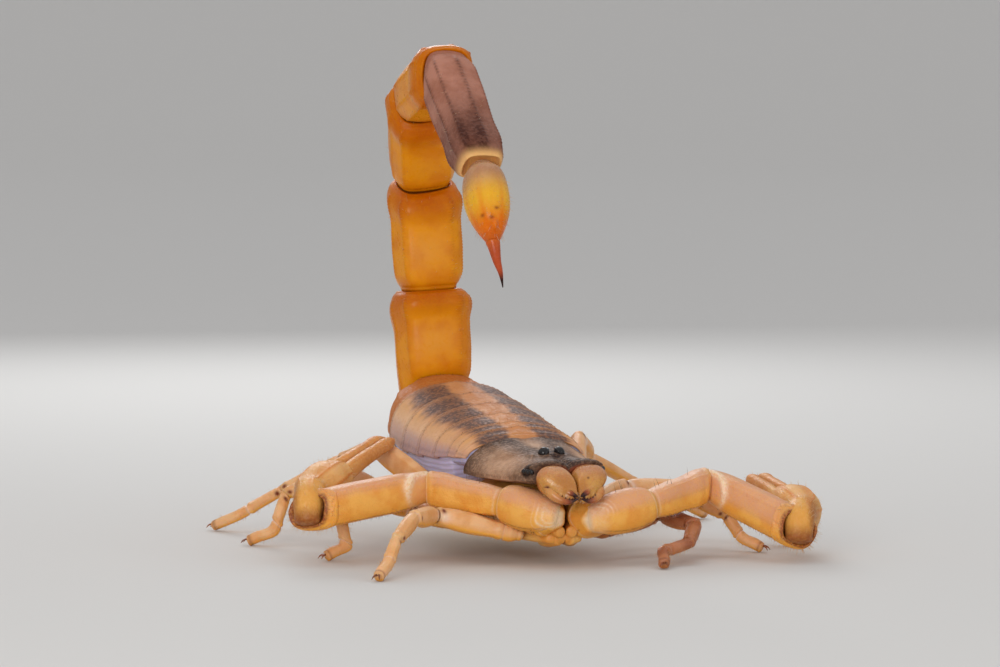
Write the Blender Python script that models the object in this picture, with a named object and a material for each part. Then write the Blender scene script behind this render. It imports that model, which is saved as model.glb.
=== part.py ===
"""A striped bark scorpion, life size, standing with its tail arched forward over its back.

The animal faces -Y with its left side at +X. Sizes and places below are millimetres, measured from the floor
under the front edge of the head. Every armour plate, limb segment and eye is a closed solid of its own, and
neighbours meet at thin open joints. The whole animal hangs on one empty, which sets the origin on the floor
under the middle of its box.
"""

import math

import bmesh
import bpy
from mathutils import Vector

MM = 0.001
JOINT_GAP = 0.06  # open joint between two neighbouring segments
UP = Vector((0, 0, 1))
LEFT = Vector((1, 0, 0))

# The shield over the head: distance back from its front edge, half width, top, height of its side edge
SHIELD_STATIONS = (
    (0.00, 1.62, 4.74, 4.08),
    (0.35, 1.84, 4.84, 4.00),
    (1.10, 2.08, 4.88, 3.94),
    (2.00, 2.33, 4.92, 3.90),
    (3.10, 2.60, 5.10, 3.88),
    (4.30, 2.84, 5.28, 3.86),
    (5.58, 3.00, 5.46, 3.90),
)
SHIELD_DEPTH = 0.28  # how far the shield's solid reaches below its side edge
EYE_MOUND = (2.0, 0.16, 0.75, 0.55)  # place, height, half length and half width of the mound for the eyes
MEDIAN_EYE_RADIUS = 0.25
MEDIAN_EYE_SPREAD = 0.36

# The rings of the trunk behind the shield: place, half width, top, height of its side edge, belly.
# The first two sit on the hip plates; the last station is inside the seventh ring.
TRUNK_STATIONS = (
    (5.64, 2.98, 5.48, 4.40, 3.80),
    (6.36, 3.04, 5.66, 4.35, 3.80),
    (7.16, 3.12, 5.84, 4.28, 1.75),
    (8.66, 3.29, 6.12, 4.15, 1.78),
    (10.50, 3.44, 6.45, 4.18, 1.94),
    (12.60, 3.48, 6.79, 4.34, 2.32),
    (14.90, 3.34, 7.14, 4.75, 2.95),
    (16.80, 2.86, 7.34, 5.25, 3.85),
)
TRUNK_AXIS = Vector((0, 1, 0.12))
TRUNK_END = Vector((0.25, 18.85, 6.05))  # centre of the joint where the tail begins
TRUNK_END_HALF = (1.72, 1.30)

# Centres of the tail's joints, from its base to the tip of the sting
TAIL_JOINTS = [
    Vector(p)
    for p in (
        TRUNK_END,
        (0.02, 19.25, 11.60),
        (-0.25, 19.34, 16.90),
        (-1.50, 16.10, 20.95),
        (-2.20, 10.30, 22.35),
        (-2.36, 4.93, 18.05),
        (-2.60, 2.70, 14.72),
    )
]
TAIL_HALF_WIDTHS = ((1.74, 1.84), (1.66, 1.66), (1.58, 1.54), (1.48, 1.44), (1.36, 1.12))
# Along a tail segment: place, share of the full width, and extra height of the upper keels
TAIL_SHAPE = (
    (0.00, 0.80, 1.0),
    (0.10, 0.93, 1.0),
    (0.32, 1.0, 1.0),
    (0.66, 1.0, 1.0),
    (0.90, 1.03, 1.03),
    (1.00, 0.84, 1.02),
)
TAIL_TALLNESS = 0.92
STING_TIP = Vector((-2.58, 1.45, 12.80))
STING_BEND = Vector((-2.68, 2.25, 13.75))

# The pincer arms: where the stem leaves the head, then the joints out to the fold, and the pincer's tip
ARM_JOINTS = {
    "right": [(-0.70, -0.15, 2.32), (-2.50, 1.75, 2.82), (-5.05, 5.00, 3.30), (-11.30, 4.27, 2.44)],
    "left": [(0.98, -0.55, 2.20), (4.00, -0.10, 2.66), (7.90, 2.25, 3.24), (10.65, -2.55, 1.42)],
}
PINCERS = {
    "right": [(-10.95, 5.70, 2.74), (-4.90, 10.95, 5.15)],
    "left": [(11.58, -1.40, 1.80), (12.00, 6.35, 3.18)],
}
HAND_LENGTH = 3.7

# Walking legs, front to back: the lengths of the four outer segments and the half depth of the thigh
LEG_LENGTHS = ((2.6, 2.05, 1.4, 1.1), (2.4, 1.8, 1.3, 1.05), (3.3, 2.7, 1.9, 1.3), (4.2, 3.7, 2.5, 1.5))
LEG_DEPTHS = (0.50, 0.52, 0.56, 0.62)
# Each leg's hip, knee and toe, and the side to which its outer part bows
LEG_PLACES = {
    "right": (
        ((-1.75, 1.50, 1.38), (-5.40, 2.70, 2.28), (-9.75, -2.20, 0.27), (0, 0, 1)),
        ((-2.50, 3.40, 1.60), (-5.30, 6.50, 2.10), (-9.60, 5.80, 0.27), (0, 0, 1)),
        ((-2.75, 5.00, 2.00), (-5.80, 8.80, 2.60), (-11.20, 12.80, 0.27), (0, 1, 1)),
        ((-3.00, 6.50, 2.25), (-5.20, 12.00, 4.60), (-11.00, 19.30, 0.27), (0.6, 1, 0.1)),
    ),
    "left": (
        ((1.90, 1.50, 1.38), (5.70, 2.90, 1.90), (3.80, -2.50, 0.27), (1, 0, 0.2)),
        ((2.50, 3.40, 1.60), (6.20, 5.90, 2.30), (10.50, 2.00, 0.27), (0, 0, 1)),
        ((2.75, 5.00, 2.00), (6.20, 8.30, 2.60), (12.80, 3.60, 0.27), (0, 1, 0.6)),
        ((3.00, 6.50, 2.25), (5.20, 12.00, 4.60), (13.40, 16.00, 0.27), (-0.4, 1, 0.1)),
    ),
}
COMB_TEETH = 18

# Colour and roughness of each kind of part
FINISHES = {
    "shield": ((0.17, 0.14, 0.12), 0.42),
    "trunk": ((0.46, 0.31, 0.19), 0.45),
    "tail": ((0.72, 0.33, 0.06), 0.38),
    "tail_dark": ((0.17, 0.08, 0.07), 0.36),
    "bulb": ((0.85, 0.42, 0.06), 0.32),
    "sting": ((0.14, 0.03, 0.02), 0.25),
    "arm": ((0.80, 0.44, 0.12), 0.38),
    "leg": ((0.75, 0.52, 0.30), 0.40),
    "jaw": ((0.72, 0.42, 0.20), 0.36),
    "belly": ((0.74, 0.46, 0.17), 0.42),
    "comb": ((0.80, 0.66, 0.45), 0.50),
    "eye": ((0.01, 0.01, 0.012), 0.12),
}


def finish_material(name, finish):
    colour, roughness = FINISHES[finish]
    made = bpy.data.materials.new(name)
    made.use_nodes = True
    shader = made.node_tree.nodes["Principled BSDF"]
    shader.inputs["Base Color"].default_value = (*colour, 1)
    shader.inputs["Roughness"].default_value = roughness
    shader.inputs["Metallic"].default_value = 0.0
    return made


def extend(shape, row, ring):
    """Extrude an open row of vertices and set the new row on the next ring of points."""
    edges = [shape.edges.get((row[i - 1], row[i])) for i in range(len(row))]
    made = bmesh.ops.extrude_edge_only(shape, edges=edges)["geom"]
    fresh = {item for item in made if isinstance(item, bmesh.types.BMVert)}
    following = []
    for vertex, point in zip(row, ring):
        twin = next(e.other_vert(vertex) for e in vertex.link_edges if e.other_vert(vertex) in fresh)
        twin.co = point
        following.append(twin)
    return following


def body_part(name, finish, shape, origin):
    """Make the object of a closed shape whose points are millimetres in the animal's frame."""
    bmesh.ops.recalc_face_normals(shape, faces=shape.faces)
    bmesh.ops.translate(shape, verts=shape.verts, vec=-origin)
    bmesh.ops.scale(shape, verts=shape.verts, vec=(MM, MM, MM))
    mesh = bpy.data.meshes.new(name)
    shape.to_mesh(mesh)
    shape.free()
    mesh.shade_smooth()
    mesh.set_sharp_from_angle(angle=math.radians(40))
    mesh.materials.append(finish_material(name, finish))
    part = bpy.data.objects.new(name, mesh)
    part.location = origin * MM
    part.parent = animal
    bpy.context.scene.collection.objects.link(part)
    return part


def loft(name, finish, rings, origin):
    """A closed body through rings that hold equal numbers of points."""
    shape = bmesh.new()
    row = bmesh.ops.create_circle(shape, segments=len(rings[0]), radius=1.0)["verts"]
    for vertex, point in zip(row, rings[0]):
        vertex.co = point
    first = row
    for ring in rings[1:]:
        row = extend(shape, row, ring)
    bmesh.ops.contextual_create(shape, geom=first)
    bmesh.ops.contextual_create(shape, geom=row)
    bmesh.ops.triangulate(shape, faces=shape.faces)
    return body_part(name, finish, shape, origin)


def oval(half_width, rise, drop, sides, squareness=2.0):
    """Sideways and upward offsets round a section; a squareness over 2 fills out its corners."""
    offsets = []
    for step in range(sides):
        angle = math.tau * step / sides
        sideways = math.copysign(abs(math.cos(angle)) ** (2 / squareness), math.cos(angle))
        upwards = math.copysign(abs(math.sin(angle)) ** (2 / squareness), math.sin(angle))
        offsets.append((half_width * sideways, (rise if upwards > 0 else drop) * upwards))
    return offsets


def bisector(before, joint, after):
    """Normal of the plane that halves the bend at a joint."""
    return ((joint - before).normalized() + (after - joint).normalized()).normalized()


def limb_rings(joints, side, profiles, sides, squareness, before=None, after=None):
    """Rings along a chain of stretches.

    Each stretch has a profile of (place from 0 to 1, half width, rise, drop). Its ends lie on the planes that
    halve the bends, and the rings between lean evenly from one plane to the other. before and after are the
    neighbouring joints outside this part, where it leaves an open gap.
    """
    last = len(joints) - 2
    rings = []
    for index, profile in enumerate(profiles):
        start, end = joints[index], joints[index + 1]
        axis = (end - start).normalized()
        previous = before if index == 0 else joints[index - 1]
        following = after if index == last else joints[index + 2]
        near_normal = bisector(previous, start, end) if previous else axis
        far_normal = bisector(start, end, following) if following else axis
        near_gap = JOINT_GAP / 2 if index == 0 and before else 0
        far_gap = JOINT_GAP / 2 if index == last and after else 0
        across = (side - axis * side.dot(axis)).normalized()
        over = across.cross(axis)
        for place, half_width, rise, drop in profile[1:] if index else profile:
            ring = []
            for sideways, upwards in oval(half_width, rise, drop, sides, squareness):
                offset = across * sideways + over * upwards
                near = (near_gap - offset.dot(near_normal)) / near_normal.dot(axis)
                far = (-far_gap - offset.dot(far_normal)) / far_normal.dot(axis)
                along = near + (far + (end - start).length - near) * place
                ring.append(start + offset + axis * along)
            rings.append(ring)
    return rings


def shield_height(sideways, back):
    """Extra height of the mound that carries the median eyes."""
    place, height, half_length, half_width = EYE_MOUND
    return height * math.exp(-((sideways / half_width) ** 2) - ((back - place) / half_length) ** 2)


def make_shield():
    rings = []
    for back, half_width, top, edge in SHIELD_STATIONS:
        ring = []
        for sideways, upwards in oval(half_width, top - edge, SHIELD_DEPTH, 20, 2.1):
            notch = 0.16 * math.exp(-((sideways / 0.3) ** 2)) if back < 0.2 else 0
            lift = shield_height(sideways, back) if upwards > 0 else 0
            ring.append(Vector((sideways, back + notch, edge + upwards + lift)))
        rings.append(ring)
    loft("carapace", "shield", rings, Vector((0, 0, SHIELD_STATIONS[0][3])))


def make_eyes():
    place, height = EYE_MOUND[:2]
    for side, sign in (("left", 1), ("right", -1)):
        outward = Vector((sign * 0.75, -0.12, 0.65)).normalized()
        base = Vector((sign * MEDIAN_EYE_SPREAD, place, SHIELD_STATIONS[3][2] + height - 0.05))
        rings = []
        for turn in (0, 25, 50, 72):
            radius = MEDIAN_EYE_RADIUS * math.cos(math.radians(turn))
            rise = MEDIAN_EYE_RADIUS * 0.8 * math.sin(math.radians(turn))
            centre = base + outward * (0.05 + rise)
            across = outward.cross(UP).normalized()
            over = across.cross(outward)
            rings.append([centre + across * u + over * v for u, v in oval(radius, radius, radius, 10)])
        loft(f"median_eye_{side}", "eye", rings, base)
        # Three small side eyes in one row along the shield's front corner
        start = Vector((sign * 1.66, 0.00, 4.46))
        end = Vector((sign * 1.97, 0.72, 4.44))
        profile = [(0, 0.05), (0.12, 0.13), (0.3, 0.11), (0.42, 0.15), (0.62, 0.11), (0.78, 0.13), (1, 0.05)]
        stretch = [(t, r, r, r * 0.8) for t, r in profile]
        rings = limb_rings([start, end], LEFT * sign, [stretch], 8, 2.0)
        loft(f"lateral_eyes_{side}", "eye", rings, start)


def make_jaws():
    """The two jaws: rounded lobes under the shield's front edge that end in short crossing fingers."""
    stations = (
        (-0.04, 0.80, 3.98, 0.70, 0.66, 0.62),
        (-0.45, 0.80, 3.97, 0.76, 0.72, 0.74),
        (-0.85, 0.79, 3.90, 0.73, 0.68, 0.72),
        (-1.18, 0.74, 3.76, 0.62, 0.54, 0.62),
        (-1.42, 0.62, 3.50, 0.42, 0.36, 0.40),
        (-1.52, 0.46, 3.26, 0.24, 0.24, 0.20),
    )
    for side, sign in (("left", 1), ("right", -1)):
        rings = []
        for front, sideways, height, half_width, rise, drop in stations:
            section = oval(half_width, rise, drop, 12, 2.2)
            rings.append([Vector((sign * sideways + u, front, height + v)) for u, v in section])
        loft(f"chelicera_{side}", "jaw", rings, Vector((sign * 0.8, 0, 3.98)))


def make_belly_plate():
    """The fused hip plates under the head: low in front, where the pincer arms pass over, and full behind."""
    stations = (
        (0.45, 0.90, 0.98, 1.22, 1.62),
        (1.30, 1.20, 0.95, 1.24, 1.68),
        (2.45, 1.62, 0.98, 1.30, 1.80),
        (2.75, 1.72, 1.00, 1.90, 3.55),
        (4.20, 1.95, 1.08, 2.10, 3.58),
        (5.60, 2.05, 1.22, 2.30, 3.60),
        (7.05, 1.90, 1.42, 2.45, 3.60),
    )
    rings = []
    for back, half_width, low, middle, top in stations:
        section = oval(half_width, top - middle, middle - low, 16, 2.8)
        rings.append([Vector((u, back, middle + v)) for u, v in section])
    loft("coxal_plate", "belly", rings, Vector((0, 0.45, 1.2)))


def trunk_ring(station, shift=0.0):
    back, half_width, top, edge, belly = station
    section = oval(half_width, top - edge, edge - belly, 20, 2.3)
    return [Vector((u, back + shift, edge + v)) for u, v in section]


def make_trunk():
    """Seven body rings with open joints between them, the last one narrowing to the tail."""
    half_gap = JOINT_GAP / 2
    pairs = list(zip(TRUNK_STATIONS, TRUNK_STATIONS[1:]))
    for index, (near, far) in enumerate(pairs[:6]):
        if far[4] < near[4] - 1:
            far = (*far[:4], near[4])  # this ring ends over the hip plates, in front of the deep belly
        middle = [(a + b) / 2 for a, b in zip(near, far)]
        bulge = (middle[0], middle[1] + 0.04, middle[2] + 0.05, *middle[3:])
        rings = [trunk_ring(near, half_gap), trunk_ring(bulge), trunk_ring(far, -half_gap)]
        loft(f"trunk_{index + 1}", "trunk", rings, Vector((0, near[0], near[3])))
    near, middle = pairs[6]
    half_width, half_height = TRUNK_END_HALF
    normal = bisector(TRUNK_END - TRUNK_AXIS, TRUNK_END, TAIL_JOINTS[1])
    end = []
    for sideways, upwards in oval(half_width, half_height, half_height, 20, 2.6):
        back = -(normal.z * upwards + half_gap) / normal.y
        end.append(TRUNK_END + Vector((sideways, back, upwards)))
    rings = [trunk_ring(near, half_gap), trunk_ring(middle), end]
    loft("trunk_7", "trunk", rings, Vector((0, near[0], near[3])))


def make_tail():
    """Five tail segments, narrow at each joint and flared at the far end, then the bulb and the sting."""
    for index, (near_half, far_half) in enumerate(TAIL_HALF_WIDTHS):
        joints = TAIL_JOINTS[index : index + 2]
        before = TAIL_JOINTS[index - 1] if index else TRUNK_END - TRUNK_AXIS
        after = TAIL_JOINTS[index + 2]
        profile = []
        for place, share, crest in TAIL_SHAPE:
            half = (near_half + (far_half - near_half) * place) * share
            profile.append((place, half, half * TAIL_TALLNESS * crest, half * TAIL_TALLNESS))
        rings = limb_rings(joints, LEFT, [profile], 12, 2.9, before, after)
        finish = "tail_dark" if index == 4 else "tail"
        loft(f"tail_{index + 1}", finish, rings, joints[0])
    bulb = [
        (0.00, 0.62, 0.55, 0.62),
        (0.10, 0.86, 0.74, 0.92),
        (0.34, 1.06, 0.88, 1.20),
        (0.58, 1.02, 0.82, 1.16),
        (0.80, 0.74, 0.62, 0.92),
        (0.93, 0.48, 0.42, 0.66),
        (1.00, 0.31, 0.30, 0.34),
    ]
    joints = TAIL_JOINTS[5:7]
    rings = limb_rings(joints, LEFT, [bulb], 12, 2.1, TAIL_JOINTS[4], STING_BEND)
    loft("sting_bulb", "bulb", rings, joints[0])
    sting = [
        [(0.0, 0.29, 0.28, 0.30), (1.0, 0.25, 0.25, 0.25)],
        [(0.0, 0.25, 0.25, 0.25), (0.5, 0.19, 0.19, 0.19), (1.0, 0.07, 0.07, 0.07)],
    ]
    rings = limb_rings([joints[1], STING_BEND, STING_TIP], LEFT, sting, 8, 2.0, joints[0])
    loft("sting", "sting", rings, joints[1])


def make_arm(side, sign):
    """A pincer arm: stem, upper arm and forearm in a chain, and the pincer folded back along the forearm."""
    stem, shoulder, elbow, wrist = (Vector(p) for p in ARM_JOINTS[side])
    along = (wrist - stem) * Vector((1, 1, 0))
    across = along.cross(UP).normalized()
    stem_profile = [
        (0.00, 0.62, 0.66, 0.62),
        (0.25, 0.86, 0.90, 0.88),
        (0.60, 0.98, 1.02, 0.98),
        (0.85, 0.88, 0.96, 0.88),
        (1.00, 0.66, 0.74, 0.68),
    ]
    rings = limb_rings([stem, shoulder], across, [stem_profile], 12, 2.2, None, elbow)
    loft(f"pedipalp_trochanter_{side}", "arm", rings, stem)
    arm_profile = [
        (0.00, 0.60, 0.66, 0.60),
        (0.18, 0.72, 0.76, 0.72),
        (0.55, 0.78, 0.80, 0.76),
        (0.86, 0.86, 0.86, 0.80),
        (1.00, 0.68, 0.70, 0.66),
    ]
    rings = limb_rings([shoulder, elbow], across, [arm_profile], 12, 2.6, stem, wrist)
    loft(f"pedipalp_femur_{side}", "arm", rings, shoulder)
    forearm_profile = [
        (0.00, 0.66, 0.70, 0.66),
        (0.14, 0.84, 0.86, 0.82),
        (0.45, 0.92, 0.94, 0.88),
        (0.82, 0.90, 0.92, 0.88),
        (0.95, 0.86, 0.86, 0.84),
        (1.00, 0.62, 0.62, 0.60),
    ]
    rings = limb_rings([elbow, wrist], across, [forearm_profile], 12, 2.6, shoulder)
    loft(f"pedipalp_patella_{side}", "arm", rings, elbow)
    make_pincer(side, sign)


def make_pincer(side, sign):
    """A slim hand that runs on into the fixed finger, with the movable finger closed along it."""
    heel, tip = (Vector(p) for p in PINCERS[side])
    axis = (tip - heel).normalized()
    across = axis.cross(UP).normalized()
    over = across.cross(axis)
    length = (tip - heel).length
    split = sign * 0.34  # each finger's centre stands this far to its side of the pincer's middle

    def ring(along, shift, half_width, half_height, lift=0.0):
        centre = heel + axis * along + across * shift + over * lift
        section = oval(half_width, half_height, half_height, 12, 2.4)
        return [centre + across * u + over * v for u, v in section]

    rings = [
        ring(0.00, 0.0, 0.42, 0.42),
        ring(0.35, 0.0, 0.62, 0.62),
        ring(1.20, 0.0, 0.90, 0.92),
        ring(2.30, 0.0, 0.98, 1.00),
        ring(HAND_LENGTH * 0.86, 0.0, 0.84, 0.86),
        ring(HAND_LENGTH, 0.0, 0.66, 0.60),
        ring(HAND_LENGTH + 0.12, split, 0.31, 0.48),
    ]
    finger = length - HAND_LENGTH
    fixed = [ring(HAND_LENGTH + finger * t, split * s, w, h, k) for t, s, w, h, k in (
        (0.30, 1.0, 0.30, 0.40, 0.02),
        (0.65, 0.98, 0.28, 0.33, -0.03),
        (0.92, 0.92, 0.26, 0.27, -0.10),
        (1.00, 0.80, 0.14, 0.14, -0.16),
    )]
    loft(f"pedipalp_hand_{side}", "arm", rings + fixed, heel)
    movable = [ring(HAND_LENGTH + finger * t, -split * s, w, h, k) for t, s, w, h, k in (
        (0.035, 1.05, 0.29, 0.44, 0.0),
        (0.30, 1.0, 0.30, 0.38, 0.02),
        (0.65, 0.98, 0.28, 0.32, -0.03),
        (0.90, 0.92, 0.26, 0.26, -0.10),
        (0.98, 0.80, 0.14, 0.14, -0.16),
    )]
    loft(f"pedipalp_finger_{side}", "arm", movable, heel + axis * HAND_LENGTH)


def bowed_chain(start, end, lengths, bow):
    """Joints of a chain with these segment lengths from start to end, bent evenly to the bow's side."""
    span = end - start

    def flat_chain(turn):
        place, heading = Vector((0.0, 0.0)), turn * (len(lengths) - 1) / 2
        places = [place.copy()]
        for length in lengths:
            place += Vector((math.cos(heading), math.sin(heading))) * length
            places.append(place.copy())
            heading -= turn
        return places

    low, high = 0.0, math.pi / 2
    for _ in range(40):
        turn = (low + high) / 2
        if flat_chain(turn)[-1].length > span.length:
            low = turn
        else:
            high = turn
    places = flat_chain(turn)
    ahead = places[-1].normalized()
    along = span.normalized()
    aside = (bow - along * bow.dot(along)).normalized()
    chain = []
    for place in places:
        forward = place.dot(ahead)
        sideways = ahead.x * place.y - ahead.y * place.x
        chain.append(start + along * forward + aside * sideways)
    return chain


def make_leg(side, number, hip, knee, toe, bow):
    """Thigh, shank and foot of one walking leg. The sole is cut flat where it stands on the floor."""
    hip, knee, toe, bow = (Vector(p) for p in (hip, knee, toe, bow))
    *shank_lengths, foot_length = LEG_LENGTHS[number]
    depth = LEG_DEPTHS[number]
    flat = ((toe - knee) * Vector((1, 1, 0))).normalized()
    heel = toe - flat * foot_length * 0.92 + UP * foot_length * 0.38
    side_name = f"{side}_{number + 1}"
    joints = bowed_chain(knee, heel, shank_lengths, bow)
    thigh_across = ((knee - hip) * Vector((1, 1, 0))).cross(UP).normalized()
    thigh = [
        (0.00, 0.32, depth * 0.60, depth * 0.60),
        (0.16, 0.42, depth * 0.84, depth * 0.86),
        (0.30, 0.38, depth * 0.82, depth * 0.84),
        (0.62, 0.38, depth * 0.98, depth * 1.02),
        (0.90, 0.36, depth * 0.86, depth * 0.86),
        (1.00, 0.31, depth * 0.66, depth * 0.66),
    ]
    rings = limb_rings([hip, knee], thigh_across, [thigh], 8, 2.3, None, joints[1])
    loft(f"leg_{side_name}_femur", "leg", rings, hip)
    across = (joints[-1] - joints[0]).cross(bow).normalized()
    upper = [
        (0.00, 0.31, depth * 0.64, depth * 0.64),
        (0.18, 0.36, depth * 0.86, depth * 0.84),
        (0.60, 0.36, depth * 0.92, depth * 0.92),
        (1.00, 0.29, depth * 0.62, depth * 0.62),
    ]
    lower = [
        (0.00, 0.29, depth * 0.62, depth * 0.62),
        (0.22, 0.32, depth * 0.68, depth * 0.68),
        (0.84, 0.29, depth * 0.58, depth * 0.58),
        (1.00, 0.26, depth * 0.48, depth * 0.48),
    ]
    rings = limb_rings(joints[:3], across, [upper, lower], 8, 2.2, hip, joints[3])
    loft(f"leg_{side_name}_shank", "leg", rings, knee)
    ankle = [(0.00, 0.26, 0.27, 0.27), (0.5, 0.27, 0.28, 0.28), (1.00, 0.26, 0.26, 0.26)]
    sole = [(0.00, 0.26, 0.26, 0.26), (0.70, 0.26, 0.26, 0.28), (1.00, 0.25, 0.22, 0.30)]
    rings = limb_rings([joints[2], heel, toe], across, [ankle, sole], 8, 2.2, joints[1])
    for ring in rings:
        for point in ring:
            point.z = max(point.z, 0.0)
    loft(f"leg_{side_name}_foot", "leg", rings, joints[2])


def make_combs():
    """The pair of combs under the belly: a flat blade each, its rear edge cut into a row of teeth."""
    length, depth, thickness = 3.3, 0.62, 0.5
    for side, sign in (("left", 1), ("right", -1)):
        shape = bmesh.new()
        root = Vector((sign * 0.28, 7.35, 1.14))
        along = Vector((sign * 0.90, 0.42, 0.02)).normalized()
        back = UP.cross(along).normalized() * sign
        outline = [(0, 0), (0, -0.20), (length * 0.5, -0.28), (length, 0)]
        for tooth in range(COMB_TEETH, 0, -1):
            for place, reach in ((0.0, 0.0), (0.3, 1.0), (0.7, 1.0)):
                share = (tooth - place) / COMB_TEETH
                outline.append((length * share, depth * (0.55 + 0.45 * reach)))
        corners = [shape.verts.new(root + along * u + back * v) for u, v in outline]
        blade = shape.faces.new(corners)
        grown = bmesh.ops.extrude_face_region(shape, geom=[blade])["geom"]
        lifted = [item for item in grown if isinstance(item, bmesh.types.BMVert)]
        bmesh.ops.translate(shape, verts=lifted, vec=(0, 0, thickness))
        bmesh.ops.triangulate(shape, faces=shape.faces)
        body_part(f"pectine_{side}", "comb", shape, root)


def centre_on_floor():
    """Set the empty so that the floor under the middle of the animal's box is the origin."""
    bpy.context.view_layer.update()
    corners = [part.matrix_world @ vertex.co for part in animal.children for vertex in part.data.vertices]
    for axis in (0, 1):
        low = min(corner[axis] for corner in corners)
        high = max(corner[axis] for corner in corners)
        animal.location[axis] = -(low + high) / 2
    animal.location.z = -min(corner.z for corner in corners)


for leftover in list(bpy.data.objects):
    bpy.data.objects.remove(leftover)

animal = bpy.data.objects.new("scorpion_frame", None)
bpy.context.scene.collection.objects.link(animal)

make_shield()
make_eyes()
make_jaws()
make_belly_plate()
make_trunk()
make_tail()
for arm_side, arm_sign in (("left", 1), ("right", -1)):
    make_arm(arm_side, arm_sign)
    for leg_number, leg_places in enumerate(LEG_PLACES[arm_side]):
        make_leg(arm_side, leg_number, *leg_places)
make_combs()
centre_on_floor()
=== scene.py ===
"""Studio scene of a striped bark scorpion, with the real surface of every plate drawn over its own solid.

Lengths are millimetres, and a shape is turned into metres when it becomes a piece. The animal faces -Y, its
left side is +X and the floor is z = 0. Round a plate, 0 is its top (on the tail, its inner side) and 0.5 its
underside; along a plate, 0 is the end nearer the body and 1 the far end.
"""

import math
from types import SimpleNamespace

import bmesh
import bpy
import numpy as np
from mathutils import Matrix, Vector


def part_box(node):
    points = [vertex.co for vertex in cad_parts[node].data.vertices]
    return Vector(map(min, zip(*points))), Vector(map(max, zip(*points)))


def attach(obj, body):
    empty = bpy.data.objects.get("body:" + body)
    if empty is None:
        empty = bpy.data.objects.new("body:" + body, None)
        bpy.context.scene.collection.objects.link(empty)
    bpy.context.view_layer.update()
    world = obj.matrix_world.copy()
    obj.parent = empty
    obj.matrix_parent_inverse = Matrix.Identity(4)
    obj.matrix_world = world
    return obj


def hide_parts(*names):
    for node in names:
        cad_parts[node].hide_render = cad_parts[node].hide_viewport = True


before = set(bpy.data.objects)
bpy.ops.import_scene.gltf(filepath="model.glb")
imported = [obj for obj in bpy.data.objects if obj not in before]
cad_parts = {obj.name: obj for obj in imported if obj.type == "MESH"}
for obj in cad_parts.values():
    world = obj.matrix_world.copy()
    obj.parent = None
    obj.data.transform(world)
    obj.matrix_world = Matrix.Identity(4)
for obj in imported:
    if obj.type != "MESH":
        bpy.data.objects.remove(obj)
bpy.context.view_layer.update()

# --- Head shield -------------------------------------------------------------------------------------------
# One arched plate of mottled shell over the front of the body. Its front edge overhangs the jaws in two low
# arches, and a mound on its middle carries the main pair of eyes.

MM = 0.001
UP = np.array((0.0, 0.0, 1.0))
SIDES = (("left", 1), ("right", -1))  # each side's word, and its direction along X
SHIELD_DARK = (0.032, 0.0165, 0.0145)
SHIELD_TAN = (0.66, 0.40, 0.25)
ARCH_FOOT = 4.40  # how high the front edge is beside an arch, and how much higher in its middle
ARCH_RISE = 0.50
ARCH_MIDDLE = 0.90  # out from the shield's middle line
ARCH_HALF = 0.93
# How an open end turns in from its rim to its floor: the ring's size, and the share of the depth.
SOCKET_STEPS = ((0.95, 0.0), (0.91, 0.2), (0.87, 0.5), (0.80, 0.85), (0.6, 1.0), (0.3, 1.0), (0, 1.0))
SOFT_ROWS = np.array((0.0, 0.1, 0.4, 0.9, 1.0, 1.0, 1.0))[:, None]  # how far each row of an end is soft skin
plates = {}  # by piece, for the bristles that are set on them at the end


def in_order(row, before=None):
    """Points of a ring in order round it, in step with the ring before."""
    points = np.array(sorted(tuple(getattr(corner, "co", corner)) for corner in row))
    offsets = points - points.mean(axis=0)
    normal = np.linalg.svd(offsets)[2][2]
    normal *= np.sign(normal[np.argmax(np.round(abs(normal), 6))])
    turns = np.arctan2(np.cross(offsets[0], offsets) @ normal, offsets @ offsets[0])
    points = points[np.argsort((turns + 0.01) % math.tau)]  # 0.01 keeps the first point first
    if before is None:
        return points
    choices = [np.roll(p, shift, axis=0) for p in (points, points[::-1]) for shift in range(len(points))]
    target = before - before.mean(axis=0)
    return min(choices, key=lambda p: ((p - p.mean(axis=0) - target) ** 2).sum())


def rings_of(node, near):
    """The rings of points that a solid was drawn through, from its flat end nearer to a point."""
    shape = bmesh.new()
    shape.from_mesh(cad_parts[node].data)
    bmesh.ops.remove_doubles(shape, verts=shape.verts, dist=0.001 * MM)
    bmesh.ops.scale(shape, verts=shape.verts, vec=(1 / MM, 1 / MM, 1 / MM))
    shape.normal_update()
    ends = []
    for face in shape.faces:
        flat = [face]
        for item in flat:
            beside = dict.fromkeys(other for edge in item.edges for other in edge.link_faces)
            flat += [b for b in beside if b.normal.dot(face.normal) > 0.9999 and b not in flat]
        corners = {vertex for item in flat for vertex in item.verts}
        if len(corners) >= 8 and corners not in ends:
            ends.append(corners)
    row = min(ends, key=lambda corners: np.linalg.norm(np.mean([v.co for v in corners], axis=0) - near))
    rings, done = [], set()
    while row:
        done |= row
        rings.append(in_order(row, rings[-1] if rings else None))
        row = {edge.other_vert(vertex) for vertex in row for edge in vertex.link_edges} - done
    shape.free()
    return np.array(rings)


def rings_along(nodes, near):
    """The rings of solids in a row, each from the end that meets the one before."""
    for node in nodes:
        rings = rings_of(node, near)
        near = rings[-1].mean(axis=0)
        yield rings


def middle_of(node):
    low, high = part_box(node)
    return np.array((low + high) / 2) / MM


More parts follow.
